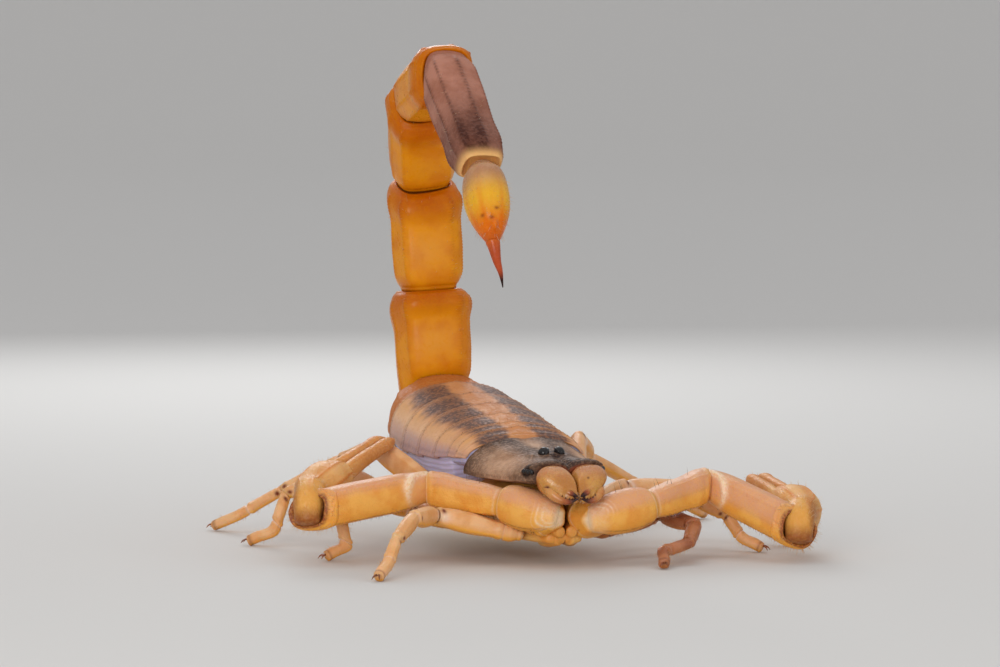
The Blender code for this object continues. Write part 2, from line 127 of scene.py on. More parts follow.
def flow(places, values, wanted):
    """A smooth curve through values at places, read at the wanted places."""
    slopes = np.gradient(values, places, axis=0)
    index = np.clip(np.searchsorted(places, wanted, side="right") - 1, 0, len(places) - 2)
    extra = (1,) * (values.ndim - 1)
    span = np.diff(places)[index].reshape(-1, *extra)
    t = (wanted - places[index]).reshape(-1, *extra) / span
    near_part = (1 + 2 * t) * (1 - t) ** 2 * values[index] + t * (1 - t) ** 2 * span * slopes[index]
    return near_part + t * t * (3 - 2 * t) * values[index + 1] + t * t * (t - 1) * span * slopes[index + 1]


def round_rings(rings, around, top):
    """Finer rings that all start on the side that faces top, and run the same way round."""
    count = rings.shape[1]
    wrapped = np.concatenate([rings[:, -3:], rings, rings[:, :3]], axis=1).swapaxes(0, 1)
    places = np.arange(-3.0, count + 3)
    fine = flow(places, wrapped, np.arange(around) * count / around).swapaxes(0, 1)
    half = len(fine) // 2
    centre = fine[half].mean(axis=0)
    heights = np.round((fine[half] - centre) @ top, 6)  # so that of two equal tops the first is taken
    fine = np.roll(fine, -int(np.argmax(heights)), axis=1)
    side = np.cross(rings[-1].mean(axis=0) - rings[0].mean(axis=0), top)
    if (fine[half, around // 4] - centre) @ side < 0:
        fine = np.roll(fine[:, ::-1], 1, axis=1)
    return fine


def unit(vectors):
    """The same directions, one long."""
    return vectors / (np.linalg.norm(vectors, axis=-1, keepdims=True) + 1e-12)


def outward(points):
    """Outward directions over a table of points (rows, columns, xyz) that closes on itself sideways."""
    across = np.roll(points, -1, axis=1) - np.roll(points, 1, axis=1)
    facing = unit(np.cross(across, np.gradient(points, axis=0)))
    return facing * np.sign((facing * (points - points.mean(axis=1, keepdims=True))).sum())


def bump(value, place, width):
    """A soft bump, 1 at the place."""
    return np.exp(-(((value - place) / width) ** 2))


def ridge(u, place, width):
    """A soft bump round the ring, where 0 and 1 are the same place."""
    return bump((u - place + 0.5) % 1, 0.5, width)


def pairs(u, places, width):
    """Soft bumps round the ring, each on both sides of its top."""
    aside = abs((u + 0.5) % 1 - 0.5)
    return sum(bump(aside, place, width) for place in places)


def step(value, start, end):
    """0 before start, 1 after end and a smooth rise between."""
    t = np.clip((value - start) / (end - start), 0, 1)
    return t * t * (3 - 2 * t)


def between(value, start, full, fade, end):
    """1 from full to fade, 0 before start and after end."""
    return step(value, start, full) * (1 - step(value, fade, end))


def wave(value, count=1):
    """A number of cosine waves from 0 to 1. One wave round a plate is 1 on its top and -1 underneath."""
    return np.cos(value * count * math.tau)


def end_rows(ring, outwards, height):
    """Rows that close an end: a dome where the height is positive, a socket with a rim where it isn't."""
    centre = ring.mean(axis=0)
    turns = np.radians(np.linspace(0, 90, 8)[1:-1])
    dome = [(math.cos(turn), math.sin(turn)) for turn in turns] + [(0, 1)]
    steps = dome if height > 0 else SOCKET_STEPS
    return np.array([centre + (ring - centre) * size + outwards * (height * share) for size, share in steps])


class Plate:
    """The fine surface of one plate: a table of points over its solid, with painted masks for its finish."""

    def __init__(self, rings, around, along, relief=None, caps=(0.1, 0.1), warp=None, soft=(1, 1), top=UP):
        fine = round_rings(rings, around, top)
        lengths = np.linalg.norm(np.diff(fine.mean(axis=1), axis=0), axis=1)
        places = np.concatenate([[0], np.cumsum(lengths)]) / lengths.sum()
        self.u = np.arange(around) / around * np.ones((along, 1))
        self.v = np.linspace(0, 1, along)[:, None] * np.ones(around)
        self.points = flow(places, fine, np.linspace(0, 1, along))
        if warp:
            self.points = warp(self.points, self.u, self.v)
        if relief:
            self.points += outward(self.points) * relief(self.u, self.v)[..., None]
        self.facing = outward(self.points)
        self.masks = {}
        self.caps, self.soft = caps, soft

    def paint(self, **masks):
        self.masks.update(masks)

    def shape(self):
        """The closed mesh, with the masks on its points and its own map round and along it."""
        points = self.points
        near = end_rows(points[0], unit(points[0].mean(axis=0) - points[2].mean(axis=0)), self.caps[0])
        far = end_rows(points[-1], unit(points[-1].mean(axis=0) - points[-3].mean(axis=0)), self.caps[1])
        soft = SOFT_ROWS * np.ones(points.shape[1])
        spread = {"soft": np.concatenate([soft[::-1] * self.soft[0], self.v * 0, soft * self.soft[1]])}
        for name, mask in self.masks.items():
            mask = np.broadcast_to(mask, points.shape[:2])
            spread[name] = np.concatenate([mask[:1].repeat(7, 0), mask, mask[-1:].repeat(7, 0)])
        return draped(np.concatenate([near[::-1], points, far]), spread)

    def piece(self, name, finish, slot, *nodes):
        plates[name] = self
        piece_of(name, self.shape(), finish, slot, *nodes)


def draped(table, masks, closed=True):
    """A sheet of faces over a table of points, joined to itself sideways where it is closed."""
    rows, columns = table.shape[:2]
    across = columns if closed else columns - 1
    shape = bmesh.new()
    shape.loops.layers.uv.new("UVMap")
    bmesh.ops.create_grid(shape, x_segments=across, y_segments=rows - 1, size=1, calc_uvs=True)
    layers = {name: shape.verts.layers.float.new(name) for name in masks}
    for vertex in shape.verts:
        column = round((vertex.co.x + 1) / 2 * across) % columns
        row = round((vertex.co.y + 1) / 2 * (rows - 1))
        vertex.co = table[row, column]
        for name, layer in layers.items():
            vertex[layer] = masks[name][row, column]
    bmesh.ops.remove_doubles(shape, verts=shape.verts, dist=0.00001)
    return shape


def object_of(name, shape, material):
    """A smoothly shaded object of a shape in metres."""
    mesh = bpy.data.meshes.new(name)
    shape.to_mesh(mesh)
    shape.free()
    mesh.shade_smooth()
    mesh.materials.append(material)
    made = bpy.data.objects.new(name, mesh)
    bpy.context.scene.collection.objects.link(made)
    return made


def piece_of(name, shape, material, slot, *nodes):
    """Make the piece of a shape in millimetres, and let it stand for its solids."""
    shape.normal_update()
    middle = sum((vertex.co for vertex in shape.verts), Vector()) / len(shape.verts)
    outwards = sum(f.normal.dot(f.calc_center_median() - middle) * f.calc_area() for f in shape.faces)
    if outwards < 0:
        bmesh.ops.reverse_faces(shape, faces=shape.faces)
    bmesh.ops.scale(shape, verts=shape.verts, vec=(MM, MM, MM))
    piece = object_of(name, shape, material)
    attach(piece, "root")
    if nodes:
        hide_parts(*nodes)
    return piece


def feed(tree, target, values):
    """Set inputs of a node. A value may be another node's output."""
    for name, value in values.items():
        if isinstance(value, bpy.types.NodeSocket):
            tree.links.new(value, target.inputs[name])
        else:
            target.inputs[name].default_value = value


def node(tree, kind, values=None, **settings):
    """A new shader node with its settings and its inputs."""
    made = tree.nodes.new(kind)
    for name, value in settings.items():
        setattr(made, name, value)
    feed(tree, made, values or {})
    return made


def calc(tree, operation, first, second):
    sockets = {0: first, 1: second}
    return node(tree, "ShaderNodeMath", sockets, operation=operation, use_clamp=True).outputs[0]


def ramp(tree, value, start, end, low=0.0, high=1.0):
    """value mapped smoothly from start..end to low..high."""
    values = {"Value": value, "From Min": start, "From Max": end, "To Min": low, "To Max": high}
    return node(tree, "ShaderNodeMapRange", values, interpolation_type="SMOOTHSTEP").outputs[0]


def tint(tree, share, under, over):
    """The colour over laid on the colour under by a share."""
    values = {0: share}
    for socket, colour in ((6, under), (7, over)):
        values[socket] = (*colour, 1) if isinstance(colour, tuple) else colour
    return node(tree, "ShaderNodeMix", values, data_type="RGBA").outputs[2]


def painted(tree, name):
    return node(tree, "ShaderNodeAttribute", attribute_name=name).outputs["Fac"]


def make_grain():
    """Shared effect: granules and clouds of pigment in shell. Grain is the number of granules per metre."""
    group = bpy.data.node_groups.new("shell_grain", "ShaderNodeTree")
    group.interface.new_socket("Grain", in_out="INPUT", socket_type="NodeSocketFloat").default_value = 9000
    for name in ("Granules", "Clouds", "Flecks"):
        group.interface.new_socket(name, in_out="OUTPUT", socket_type="NodeSocketFloat")
    grain = node(group, "NodeGroupInput").outputs["Grain"]
    place = node(group, "ShaderNodeTexCoord").outputs["Object"]
    cells = node(group, "ShaderNodeTexVoronoi", {"Vector": place, "Scale": grain}, feature="SMOOTH_F1")
    outputs = {"Granules": ramp(group, cells.outputs["Distance"], 0.55, 0.05)}
    for name, share, detail in (("Clouds", 0.11, 4.0), ("Flecks", 0.8, 3.0)):
        scale = node(group, "ShaderNodeMath", {0: grain, 1: share}, operation="MULTIPLY").outputs[0]
        noise = {"Vector": place, "Scale": scale, "Detail": detail}
        outputs[name] = node(group, "ShaderNodeTexNoise", noise).outputs[0]
    feed(group, node(group, "NodeGroupOutput"), outputs)
    return group


grain_group = make_grain()


def new_material(name):
    """A material, its node tree and its shader."""
    made = bpy.data.materials.new(name)
    made.use_nodes = True
    return made, made.node_tree, made.node_tree.nodes["Principled BSDF"]


def shell(
    name, light, deep, *layers,
    roughness=0.36, grain=9000.0, relief=0.000012, through=0.25, coat=0.0, shine=0.3,
):
    """Chitin: clouded from light to deep, with painted layers of (mask, colour, share, break-up) over it."""
    made, tree, shader = new_material(name)
    noise = node(tree, "ShaderNodeGroup", node_tree=grain_group)
    feed(tree, noise, {"Grain": grain})
    flecks = noise.outputs["Flecks"]
    colour = tint(tree, ramp(tree, noise.outputs["Clouds"], 0.38, 0.66), light, deep)
    for mask, over, share, broken in layers:
        amount = calc(tree, "MULTIPLY", painted(tree, mask), share)
        if broken:
            patchy = ramp(tree, flecks, 0.5 - 0.25 * broken, 0.5 + 0.1 * broken, 1 - broken, 1.0)
            amount = calc(tree, "MULTIPLY", amount, patchy)
        colour = tint(tree, amount, colour, over)
    height = calc(tree, "ADD", calc(tree, "MULTIPLY", noise.outputs["Granules"], 0.7), flecks)
    lumps = node(tree, "ShaderNodeBump", {"Height": height, "Strength": 0.6, "Distance": relief})
    feed(tree, shader, {
        "Base Color": colour,
        "Roughness": ramp(tree, flecks, 0.3, 0.7, roughness - 0.08, roughness + 0.1),
        "Normal": lumps.outputs[0],
        "Subsurface Weight": through,
        "Subsurface Radius": (1.0, 0.45, 0.16),
        "Subsurface Scale": 0.0006,
        "Coat Weight": coat,
        "Coat Roughness": 0.18,
        "Specular IOR Level": shine,
    })
    return made


shield_finish = shell(
    "shield_shell", SHIELD_TAN, (0.40, 0.22, 0.125),
    ("pigment", SHIELD_DARK, 1.0, 0.24),
    ("bloom", (0.24, 0.15, 0.13), 0.15, 0.8),
    ("rim", (0.095, 0.056, 0.042), 0.5, 0.9),
    ("socket", (0.010, 0.006, 0.006), 0.9, 0.0),
    ("soft", (0.20, 0.05, 0.02), 1.0, 0),
    roughness=0.5, grain=8500.0, relief=0.00005, through=0.1, shine=0.08,
)

shield_rings = rings_of("carapace", middle_of("trunk_1"))[::-1]
shield_front = shield_rings[0].mean(axis=0)


def overhang(points, u, v):
    """Draw the front edge out over the jaws and shape it into two arches with a dip between them."""
    side = abs(points[..., 0] - shield_front[0])
    upper = step(wave(u), -0.05, 0.2)
    lip = step(-v, -0.17, 0.0) * upper
    edge = ARCH_FOOT + ARCH_RISE * np.sqrt((1 - ((side - ARCH_MIDDLE) / ARCH_HALF) ** 2).clip(0, 1))
    front = points[:1, :, 2]
    points[..., 1] -= lip * (0.36 + 0.10 * bump(side, 0.95, 0.5) - 0.20 * step(side, 1.2, 1.8))
    rise = 0.5 * (lip + (1 - v / 0.36).clip(0, 1) * upper)
    points[..., 2] += rise * (edge[:1] - front) - 0.08 * upper * bump(v, 0.0, 0.020)
    return points


def shield_relief(u, v):
    """A furrow down the middle, crests by the main eyes, keels, hollows and a beaded front rim."""
    furrow = -0.09 * ridge(u, 0, 0.02) * (between(v, 0.02, 0.1, 0.24, 0.30) + step(v, 0.46, 0.6))
    crests = 0.10 * pairs(u, (0.055,), 0.016) * bump(v, 0.36, 0.07)
    keels = 0.05 * pairs(u, (0.10,), 0.02) * step(v, 0.5, 0.62)
    hollows = -0.08 * pairs(u, (0.15,), 0.04) * bump(v, 0.55, 0.14)
    beads = 0.5 + 0.5 * wave(u, 76)
    rim = (0.02 + 0.03 * beads) * bump(v, 0.010, 0.010) + 0.012 * beads * bump(v, 0.045, 0.012)
    rim += 0.05 * pairs(u, (0.235,), 0.02)
    return step(wave(u), -0.1, 0.3) * (furrow + crests + keels + hollows + rim)


shield = Plate(shield_rings, 320, 150, shield_relief, (0.04, 0.1), overhang)
side = abs(shield.points[..., 0] - shield_front[0])
back = shield.points[..., 1] - shield_front[1]
wedge = 1 - step(side - 0.55 + 0.22 * back, -0.35, 0.35)
bands = bump(side, 1.25, 0.60) * step(back, 1.4, 2.4)
pigment = np.clip(0.88 + 0.16 * wedge + 0.3 * bands, 0, 1)
pigment *= 1 - 0.75 * bump(side, 0, 0.36 + 0.03 * back) * step(back, 3.2, 4.2)
pigment *= 1 - 0.98 * bump(side, 2.05, 0.95) * bump(back, 2.8, 1.8)
bloom = bump(side, 0.9, 0.5) * bump(back, 0.9, 0.7) + 0.7 * bump(side, 2.05, 0.7) * bump(back, 2.6, 1.4)
upper = step(wave(shield.u), -0.3, 0.2)
eye_gaps = [np.linalg.norm(shield.points - middle_of(f"lateral_eyes_{word}"), axis=2) for word, _ in SIDES]
shield.paint(
    pigment=pigment,
    bloom=np.clip(bloom, 0, 1),
    rim=upper * (1 - step(shield.v, 0.015, 0.04)) + 0.8 * bump(abs(shield.u - 0.5), 0.26, 0.012),
    socket=1 - step(np.minimum(*eye_gaps), 0.24, 0.42),
)
shield.piece("head_shield", shield_finish, "shield", "carapace")

# --- Eyes --------------------------------------------------------------------------------------------------
# Simple eyes: two round glossy black domes on the shield's mound, and three small ones in a row at each of
# its front corners, set in a dark strip of shell.

MAIN_EYE = ((0.27, 0.92, 0.02), (0.31, 0.30, 0.05))  # dome and collar: radius, flatness and how far sunk
SIDE_EYES = (0.135, 0.15, 0.13, 0.12, 0.12)  # radii of three lenses and of the swellings between them
SIDE_EYE_SHIFT = Vector((0, -0.10, -0.06))

eye_black, tree, eye_shader = new_material("eye_black")
eye_noise = node(tree, "ShaderNodeGroup", node_tree=grain_group)
feed(tree, eye_noise, {"Grain": 20000})
eye_colour = tint(tree, eye_noise.outputs["Clouds"], (0.004, 0.004, 0.005), (0.016, 0.012, 0.012))
feed(tree, eye_shader, {"Base Color": eye_colour, "Roughness": 0.2, "Specular IOR Level": 0.4})

for word, sign in SIDES:
    rings = rings_of(f"median_eye_{word}", np.array((shield_front[0], middle_of("carapace")[1], 0)))
    widest = max(rings, key=lambda ring: np.ptp(ring, axis=0).sum()).mean(axis=0)
    outwards = Vector(np.mean([ring.mean(axis=0) for ring in rings], axis=0) - widest).normalized()
    turn = outwards.to_track_quat("Z", "Y").to_matrix().to_4x4()
    shape = bmesh.new()
    for radius, flat, sink in MAIN_EYE:
        place = Matrix.Translation(Vector(widest) - outwards * sink) @ turn
        place = place @ Matrix.Diagonal((1, 1, flat, 1))
        bmesh.ops.create_uvsphere(shape, u_segments=40, v_segments=24, radius=radius, matrix=place)
    piece_of(f"main_eye_{word}", shape, eye_black, "eye", f"median_eye_{word}")
    rings = rings_of(f"lateral_eyes_{word}", shield_front - np.array((0, 2, 0)))
    shape = bmesh.new()
    for ring, radius in zip(rings[[1, 3, 5, 2, 4]], SIDE_EYES):
        place = Matrix.Translation(Vector(ring.mean(axis=0)) + SIDE_EYE_SHIFT)
        bmesh.ops.create_uvsphere(shape, u_segments=32, v_segments=20, radius=radius, matrix=place)
    piece_of(f"side_eyes_{word}", shape, eye_black, "eye", f"lateral_eyes_{word}")

# --- Jaws --------------------------------------------------------------------------------------------------
# Two rounded lobes of cream shell netted with fine brown lines, side by side under the shield's front edge.
# Each ends in a fixed finger and a hinged one that cross in the middle, both with near-black teeth.

# Points of the left fingers, as distance from the middle line, Y and height, and their radii.
HINGED = ((1.26, -9.86, 3.74), (1.16, -10.16, 3.50), (0.88, -10.42, 3.26), (0.52, -10.60, 3.15),
          (0.08, -10.64, 3.27))
HINGED_RADII = (0.19, 0.22, 0.18, 0.12, 0.035)
FIXED = ((0.56, -10.20, 3.66), (0.36, -10.48, 3.50), (0.10, -10.60, 3.38))
FIXED_RADII = (0.22, 0.15, 0.045)
JAW_DOTS = ((1.36, 3.78, 0.075), (0.55, 4.18, 0.045))  # distance from the middle line, height and size


def tube(path, radii, sides=16):
    """Rings of a round tapering stretch through the points of a path."""
    path, radii = np.array(path, float), np.array(radii, float)
    onward = np.gradient(path, axis=0)
    side = unit(np.cross(onward, (0.31, 0.22, 0.92)))
    over = unit(np.cross(side, onward))
    turns = np.arange(sides) / sides * math.tau
    round_it = np.cos(turns)[:, None] * side[:, None] + np.sin(turns)[:, None] * over[:, None]
    return path[:, None] + radii[:, None, None] * round_it


jaw_finish = shell(
    "jaw_shell", (0.64, 0.32, 0.070), (0.48, 0.19, 0.035),
    ("rosy", (0.60, 0.28, 0.15), 0.65, 0.1),
    ("net", (0.42, 0.16, 0.04), 0.45, 0.9),
    ("deep", (0.42, 0.08, 0.012), 0.8, 0.1),
    ("dot", (0.10, 0.012, 0.006), 1.0, 0.0),
    ("soft", (0.78, 0.5, 0.25), 1.0, 0),
    roughness=0.27, relief=0.00002, coat=0.35,
)
claw_finish = shell(
    "jaw_claw_shell", (0.60, 0.27, 0.08), (0.50, 0.19, 0.05),
    ("red", (0.26, 0.045, 0.012), 0.9, 0.0),
    ("tip", (0.028, 0.004, 0.003), 1.0, 0.0),
    roughness=0.27, relief=0.000004, coat=0.25,
)
tree = jaw_finish.node_tree
place = node(tree, "ShaderNodeTexCoord").outputs["Object"]
bend = node(tree, "ShaderNodeTexNoise", {"Vector": place, "Scale": 3200.0})
push = node(tree, "ShaderNodeVectorMath", {0: bend.outputs["Color"], 1: (0.0005,) * 3}, operation="MULTIPLY")
bent = node(tree, "ShaderNodeVectorMath", {0: place, 1: push.outputs[0]}, operation="ADD").outputs[0]
cells = node(tree, "ShaderNodeTexVoronoi", {"Vector": bent, "Scale": 6500.0}, feature="DISTANCE_TO_EDGE")
lines = calc(tree, "MULTIPLY", ramp(tree, cells.outputs["Distance"], 0.16, 0.01), painted(tree, "net"))
lines = calc(tree, "MULTIPLY", lines, ramp(tree, bend.outputs["Fac"], 0.35, 0.65, 0.15, 0.75))
jaw_shader = tree.nodes["Principled BSDF"]
jaw_colour = jaw_shader.inputs["Base Color"].links[0].from_socket
feed(tree, jaw_shader, {"Base Color": tint(tree, lines, jaw_colour, (0.42, 0.15, 0.04))})


def spike(shape, root, heading, width, length, sides=8):
    """A short cone on a shape. Returns its points."""
    heading = Vector(heading).normalized()
    turn = heading.to_track_quat("Z", "Y").to_matrix().to_4x4()
    spot = Matrix.Translation(Vector(root) + heading * length * 0.4) @ turn
    sizes = {"radius1": width, "radius2": width * 0.12, "depth": length}
    return bmesh.ops.create_cone(shape, cap_ends=True, segments=sides, matrix=spot, **sizes)["verts"]


def close_in(points, v, sign):
    """Widen the lobe's top, narrow its foot and round its inner side out to all but meet the other."""
    height = points[..., 2]
    outer = step(abs(points[..., 0] - shield_front[0]), 0.5, 1.2) * step(v, 0.1, 0.3)
    broad = (0.17 - 0.12 * step(v, 0.4, 0.8)) * step(height, 3.5, 4.3)
    broad -= (0.16 + 0.16 * step(v, 0.3, 0.8)) * (1 - step(height, 3.15, 4.25))
    points[..., 0] += sign * broad * outer
    points[..., 2] += 0.03 * outer * step(height, 4.0, 4.4)
    across = points[..., 0] - shield_front[0]
    near = bump(abs(across), 0.12, 0.26) * step(v, 0.25, 0.75)
    points[..., 0] -= 0.8 * across * near
    points[..., 1] -= 0.10 * near
    return points


def jaw_relief(u, v):
    return 0.02 * wave(u, 3) * step(v, 0.3, 0.7) - 0.04 * bump(v, 0.97, 0.05)


def finger_relief(u, v):
    return 0.03 * (ridge(u, 0.1, 0.05) + ridge(u, 0.45, 0.05)) * step(v, 0.05, 0.2) * (1 - v)


for word, sign in SIDES:
    rings = rings_of(f"chelicera_{word}", middle_of("carapace"))
    inwards = lambda points, u, v: close_in(points, v, sign)
    jaw = Plate(rings, 96, 80, jaw_relief, (0.05, 0.1), inwards, soft=(0, 0))
    x, z = abs(jaw.points[..., 0] - shield_front[0]), jaw.points[..., 2]
    front = step(jaw.v, 0.25, 0.4)
    dots = JAW_DOTS if word == "left" else JAW_DOTS[:1]
    dot = sum(np.exp(-((x - across) ** 2 + (z - height) ** 2) / size**2) for across, height, size in dots)
    jaw.paint(
        dot=np.clip(1.35 * front * dot, 0, 1),
        net=front * (0.5 + 0.5 * step(z, 3.4, 4.4)) * 0.8,
        rosy=step(z, 4.0, 4.6),
        deep=np.clip(0.9 * (1 - step(jaw.v, 0.16, 0.30)) + 0.55 * (1 - step(z, 3.12, 3.45)) * front, 0, 1),
    )
    jaw.piece(f"jaw_{word}", jaw_finish, "jaw", f"chelicera_{word}")
    for name, path, radii, grid, relief, red, tip, rows, (across, ahead, rise) in (
        ("finger", HINGED, HINGED_RADII, (40, 70), finger_relief, (0.42, 0.74), (0.66, 0.90),
         (36, 43, 50, 56, 62), (-0.2, -0.5, 1.0)),
        ("fixed_finger", FIXED, FIXED_RADII, (32, 30), None, (0.30, 0.62), (0.55, 0.85),
         (11, 15, 19, 23), (-0.4, -0.7, -1.0)),
    ):
        path = [(shield_front[0] + sign * out, y, height) for out, y, height in path]
        finger = Plate(tube(path, radii), *grid, relief, (0.1, 0.03), soft=(0, 0))
        finger.paint(red=step(finger.v, *red), tip=step(finger.v, *tip))
        shape = finger.shape()
        heading = np.array((across * sign, ahead, rise))
        for count, row in enumerate(rows):
            middle = finger.points[row].mean(axis=0)
            width = np.linalg.norm(finger.points[row] - middle, axis=1).mean()
            root = middle + unit(heading) * width * 0.6
            for vertex in spike(shape, root, heading, 0.055, 0.17 - 0.02 * (count % 2)):
                for layer in ("tip", "red"):
                    vertex[shape.verts.layers.float[layer]] = 1.0
        piece_of(f"jaw_{name}_{word}", shape, claw_finish, "jaw")

# --- Hips, mouth and belly plate ---------------------------------------------------------------------------
# The fused hip plates of the legs, under the head, in yellow shell parted by grooves, with two pairs of
# mouth lobes in front between the swollen hips of the pincer arms.

AMBER = (0.84, 0.42, 0.085)
AMBER_DEEP = (0.77, 0.32, 0.05)
SKIN_PALE = (0.80, 0.56, 0.34)
SOCKET_BROWN = (0.24, 0.055, 0.016)
SWIRLS = ((0.13, 0.45), (0.19, 0.7), (0.27, 0.3))  # pale rings on an arm's stem: radius and strength
MOUTH_LOBES = ((1.60, 0.08, 0.34), (1.22, 0.32, 0.42))  # height, how far back the tip is, and thickness

belly_finish = shell(
    "belly_shell", (0.80, 0.42, 0.11), (0.68, 0.28, 0.05),
    # the groove colour also paints shade at the roots of the mouth lobes
    ("groove", (0.20, 0.06, 0.02), 0.8, 0.0),
    ("soft", SKIN_PALE, 1.0, 0.0),
    relief=0.00001,
)
arm_finish = shell(
    "arm_shell", AMBER, AMBER_DEEP,
    # painted sheen: the tops are painted pinkish
    ("upper", (0.70, 0.34, 0.20), 0.8, 0.25),
    ("edge", (0.88, 0.36, 0.035), 0.6, 0.0),
    ("keel", (0.36, 0.11, 0.022), 0.7, 0.8),
    ("rim", SOCKET_BROWN, 0.92, 0.35),
    ("pale", (0.90, 0.68, 0.48), 0.9, 0.45),
    ("soft", SKIN_PALE, 1.0, 0.0),
    roughness=0.38, grain=11000.0, relief=0.00003,
)


def hip_grooves(u, v):
    """Slanting grooves between the hips, and one down the middle, on the underside."""
    slant = v - 0.55 * abs(u - 0.5)
    lines = sum(bump(slant, place, 0.012) for place in (0.16, 0.33, 0.52, 0.74))
    middle = bump(u, 0.5, 0.008) * (1 - step(v, 0.42, 0.5))
    return step(-wave(u), -0.2, 0.3) * np.clip(lines + middle, 0, 1)


def arm_relief(u, v):
    """Beaded keels along the four corners, hollow faces between them and a swollen far collar."""
    keels = 0.05 * pairs(u, (0.125, 0.375), 0.012) * (0.72 + 0.28 * wave(v, 30))
    hollows = 0.035 * pairs(u, (0, 0.25, 0.5), 0.06)
    return between(v, 0.05, 0.16, 0.88, 0.96) * (keels - hollows) + 0.05 * bump(v, 0.93, 0.04)


def stem_relief(u, v):
    """A keel on each side, and a shallow neck before the far collar."""
    keels = 0.05 * pairs(u, (0.20,), 0.02) * bump(v, 0.55, 0.3)
    return keels + 0.03 * bump(v, 0.93, 0.05) - 0.02 * bump(v, 0.80, 0.05)


def hip_relief(u, v):
    """A raised ring behind a neck, and soft lengthwise swellings."""
    return 0.06 * bump(v, 0.80, 0.025) - 0.05 * bump(v, 0.70, 0.04) + 0.03 * np.sin(u * 5 * math.tau) * v


def arm_masks(plate, rim=0.0, brow=0.35):
    """Paint an arm segment: pinkish above the brow, an orange lower edge, brown keels and a dark far rim."""
    u, v = plate.u, plate.v
    brow_line = abs(wave(u) - brow) * (1 + 9 * step(-wave(u), 0.0, 0.2))
    keels = 0.3 * bump(brow_line, 0.0, 0.05) * (0.6 + 0.4 * wave(v, 60)) + pairs(u, (0.375,), 0.010)
    plate.paint(
        # Painted sheen: the top, above the brow, is painted pinkish.
        upper=step(wave(u), brow - 0.25, brow + 0.25) * (1 - 0.7 * step(v, 0.85, 1.0)),
        edge=step(-wave(u), 0.0, 0.9),
        keel=np.clip(between(v, 0.05, 0.15, 0.88, 0.97) * keels, 0, 1),
        rim=rim * step(v, 0.975, 0.995),
    )


def distance(plate, u, v, tall=1.0):
    """How far the points of a plate are from the place (u, v), as a share of the plate's length."""
    return np.hypot(((plate.u - u + 0.5) % 1 - 0.5) * tall, plate.v - v)


def arc(plate, u, v, radius, width, tall=1.0):
    """A thin round mark about the place (u, v), or a spot on it where the radius is 0."""
    return bump(distance(plate, u, v, tall), radius, width)


hips = Plate(
    rings_of("coxal_plate", shield_front), 112, 120,
    lambda u, v: -0.07 * hip_grooves(u, v), (0.25, 0.1), soft=(0, 1),
)
hips.paint(groove=hip_grooves(hips.u, hips.v))
hips.piece("hip_plates", belly_finish, "belly", "coxal_plate")

for word, sign in SIDES:
    rings = rings_of(f"pedipalp_trochanter_{word}", shield_front)
    stem = Plate(rings, 80, 80, stem_relief, (0.35, -0.2))
    arm_masks(stem)
    bend = 0.02 * np.sin(stem.v * 23) + 0.02 * np.sin(stem.u * 4 * math.tau)
    away = np.hypot((stem.u - 0.5 + 0.32 * sign) * 1.1, stem.v + bend)
    swirl = sum(strength * bump(away, radius, 0.014) for radius, strength in SWIRLS)
    swirl *= step(np.sin(stem.u * 2 * math.tau + 0.9 * sign), -0.9, 0.3)
    line = 0.8 * bump(stem.v + 0.015 * np.sin(stem.u * 2 * math.tau), 0.945, 0.010)
    stem.paint(pale=np.clip(swirl + 0.30 * (1 - step(stem.v, 0.05, 0.22)) + line, 0, 1))
    stem.piece(f"arm_stem_{word}", arm_finish, "arm", f"pedipalp_trochanter_{word}")
    base = rings[0].mean(axis=0)
    deep = np.array((shield_front[0] + sign * 1.35, shield_front[1] + 2.7, base[2] + 0.35))
    path = [deep, deep * 0.6 + base * 0.4 + (sign * 0.25, 0, 0), base + (sign * 0.12, 0.35, 0.02)]
    path.append(base + (sign * 0.05, -0.12, -0.02))
    hip = Plate(tube(path, (0.75, 0.96, 0.88, 0.60)), 72, 64, hip_relief, (0.2, 0.28))
    arm_masks(hip)
    ring = bump(hip.v + 0.03 * np.sin(hip.u * 2 * math.tau), 0.83, 0.011)
    hip.paint(pale=0.64 * ring, upper=hip.v * 0)
    hip.piece(f"arm_hip_{word}", arm_finish, "arm")
    for rank, (height, back, thickness) in enumerate(MOUTH_LOBES):
        root = shield_front * (1, 1, 0) + (sign * 0.55, 1.4, height)
        tip = shield_front * (1, 1, 0) + (sign * 0.27, back, height - 0.02)
        path = [root, (root + tip) / 2 + (sign * 0.08, 0, 0.03), tip]
        lobe = Plate(tube(path, (0.42, thickness, 0.26)), 40, 40, soft=(0, 0))
        # Painted shade: each mouth lobe is painted darker towards its root, under the head.
        lobe.paint(groove=0.35 * (1 - step(lobe.v, 0.4, 0.9)))
        lobe.piece(f"mouth_lobe_{rank + 1}_{word}", belly_finish, "belly")

# --- Trunk -------------------------------------------------------------------------------------------------
# Seven back plates lie over a bag of soft, finely folded skin, each lapping over the front of the next, and
# five plates cover the belly. Two broad dark stripes run down the back with a lighter line between them.

# For each back plate from the front: how far it reaches round, and its pale margin and violet hem.
BACK_REACH = (0.232, 0.234, 0.238, 0.243, 0.250, 0.258, 0.262)
MARGINS = (0.5, 0.5, 0.6, 0.8, 1.0, 1.0, 0.3)
HEMS = (0.3, 0.6, 1.0, 1.0, 1.0, 0.7, 0.0)
BELLY_REACH = 0.19
LAP = 0.20  # how far a plate lies over the next

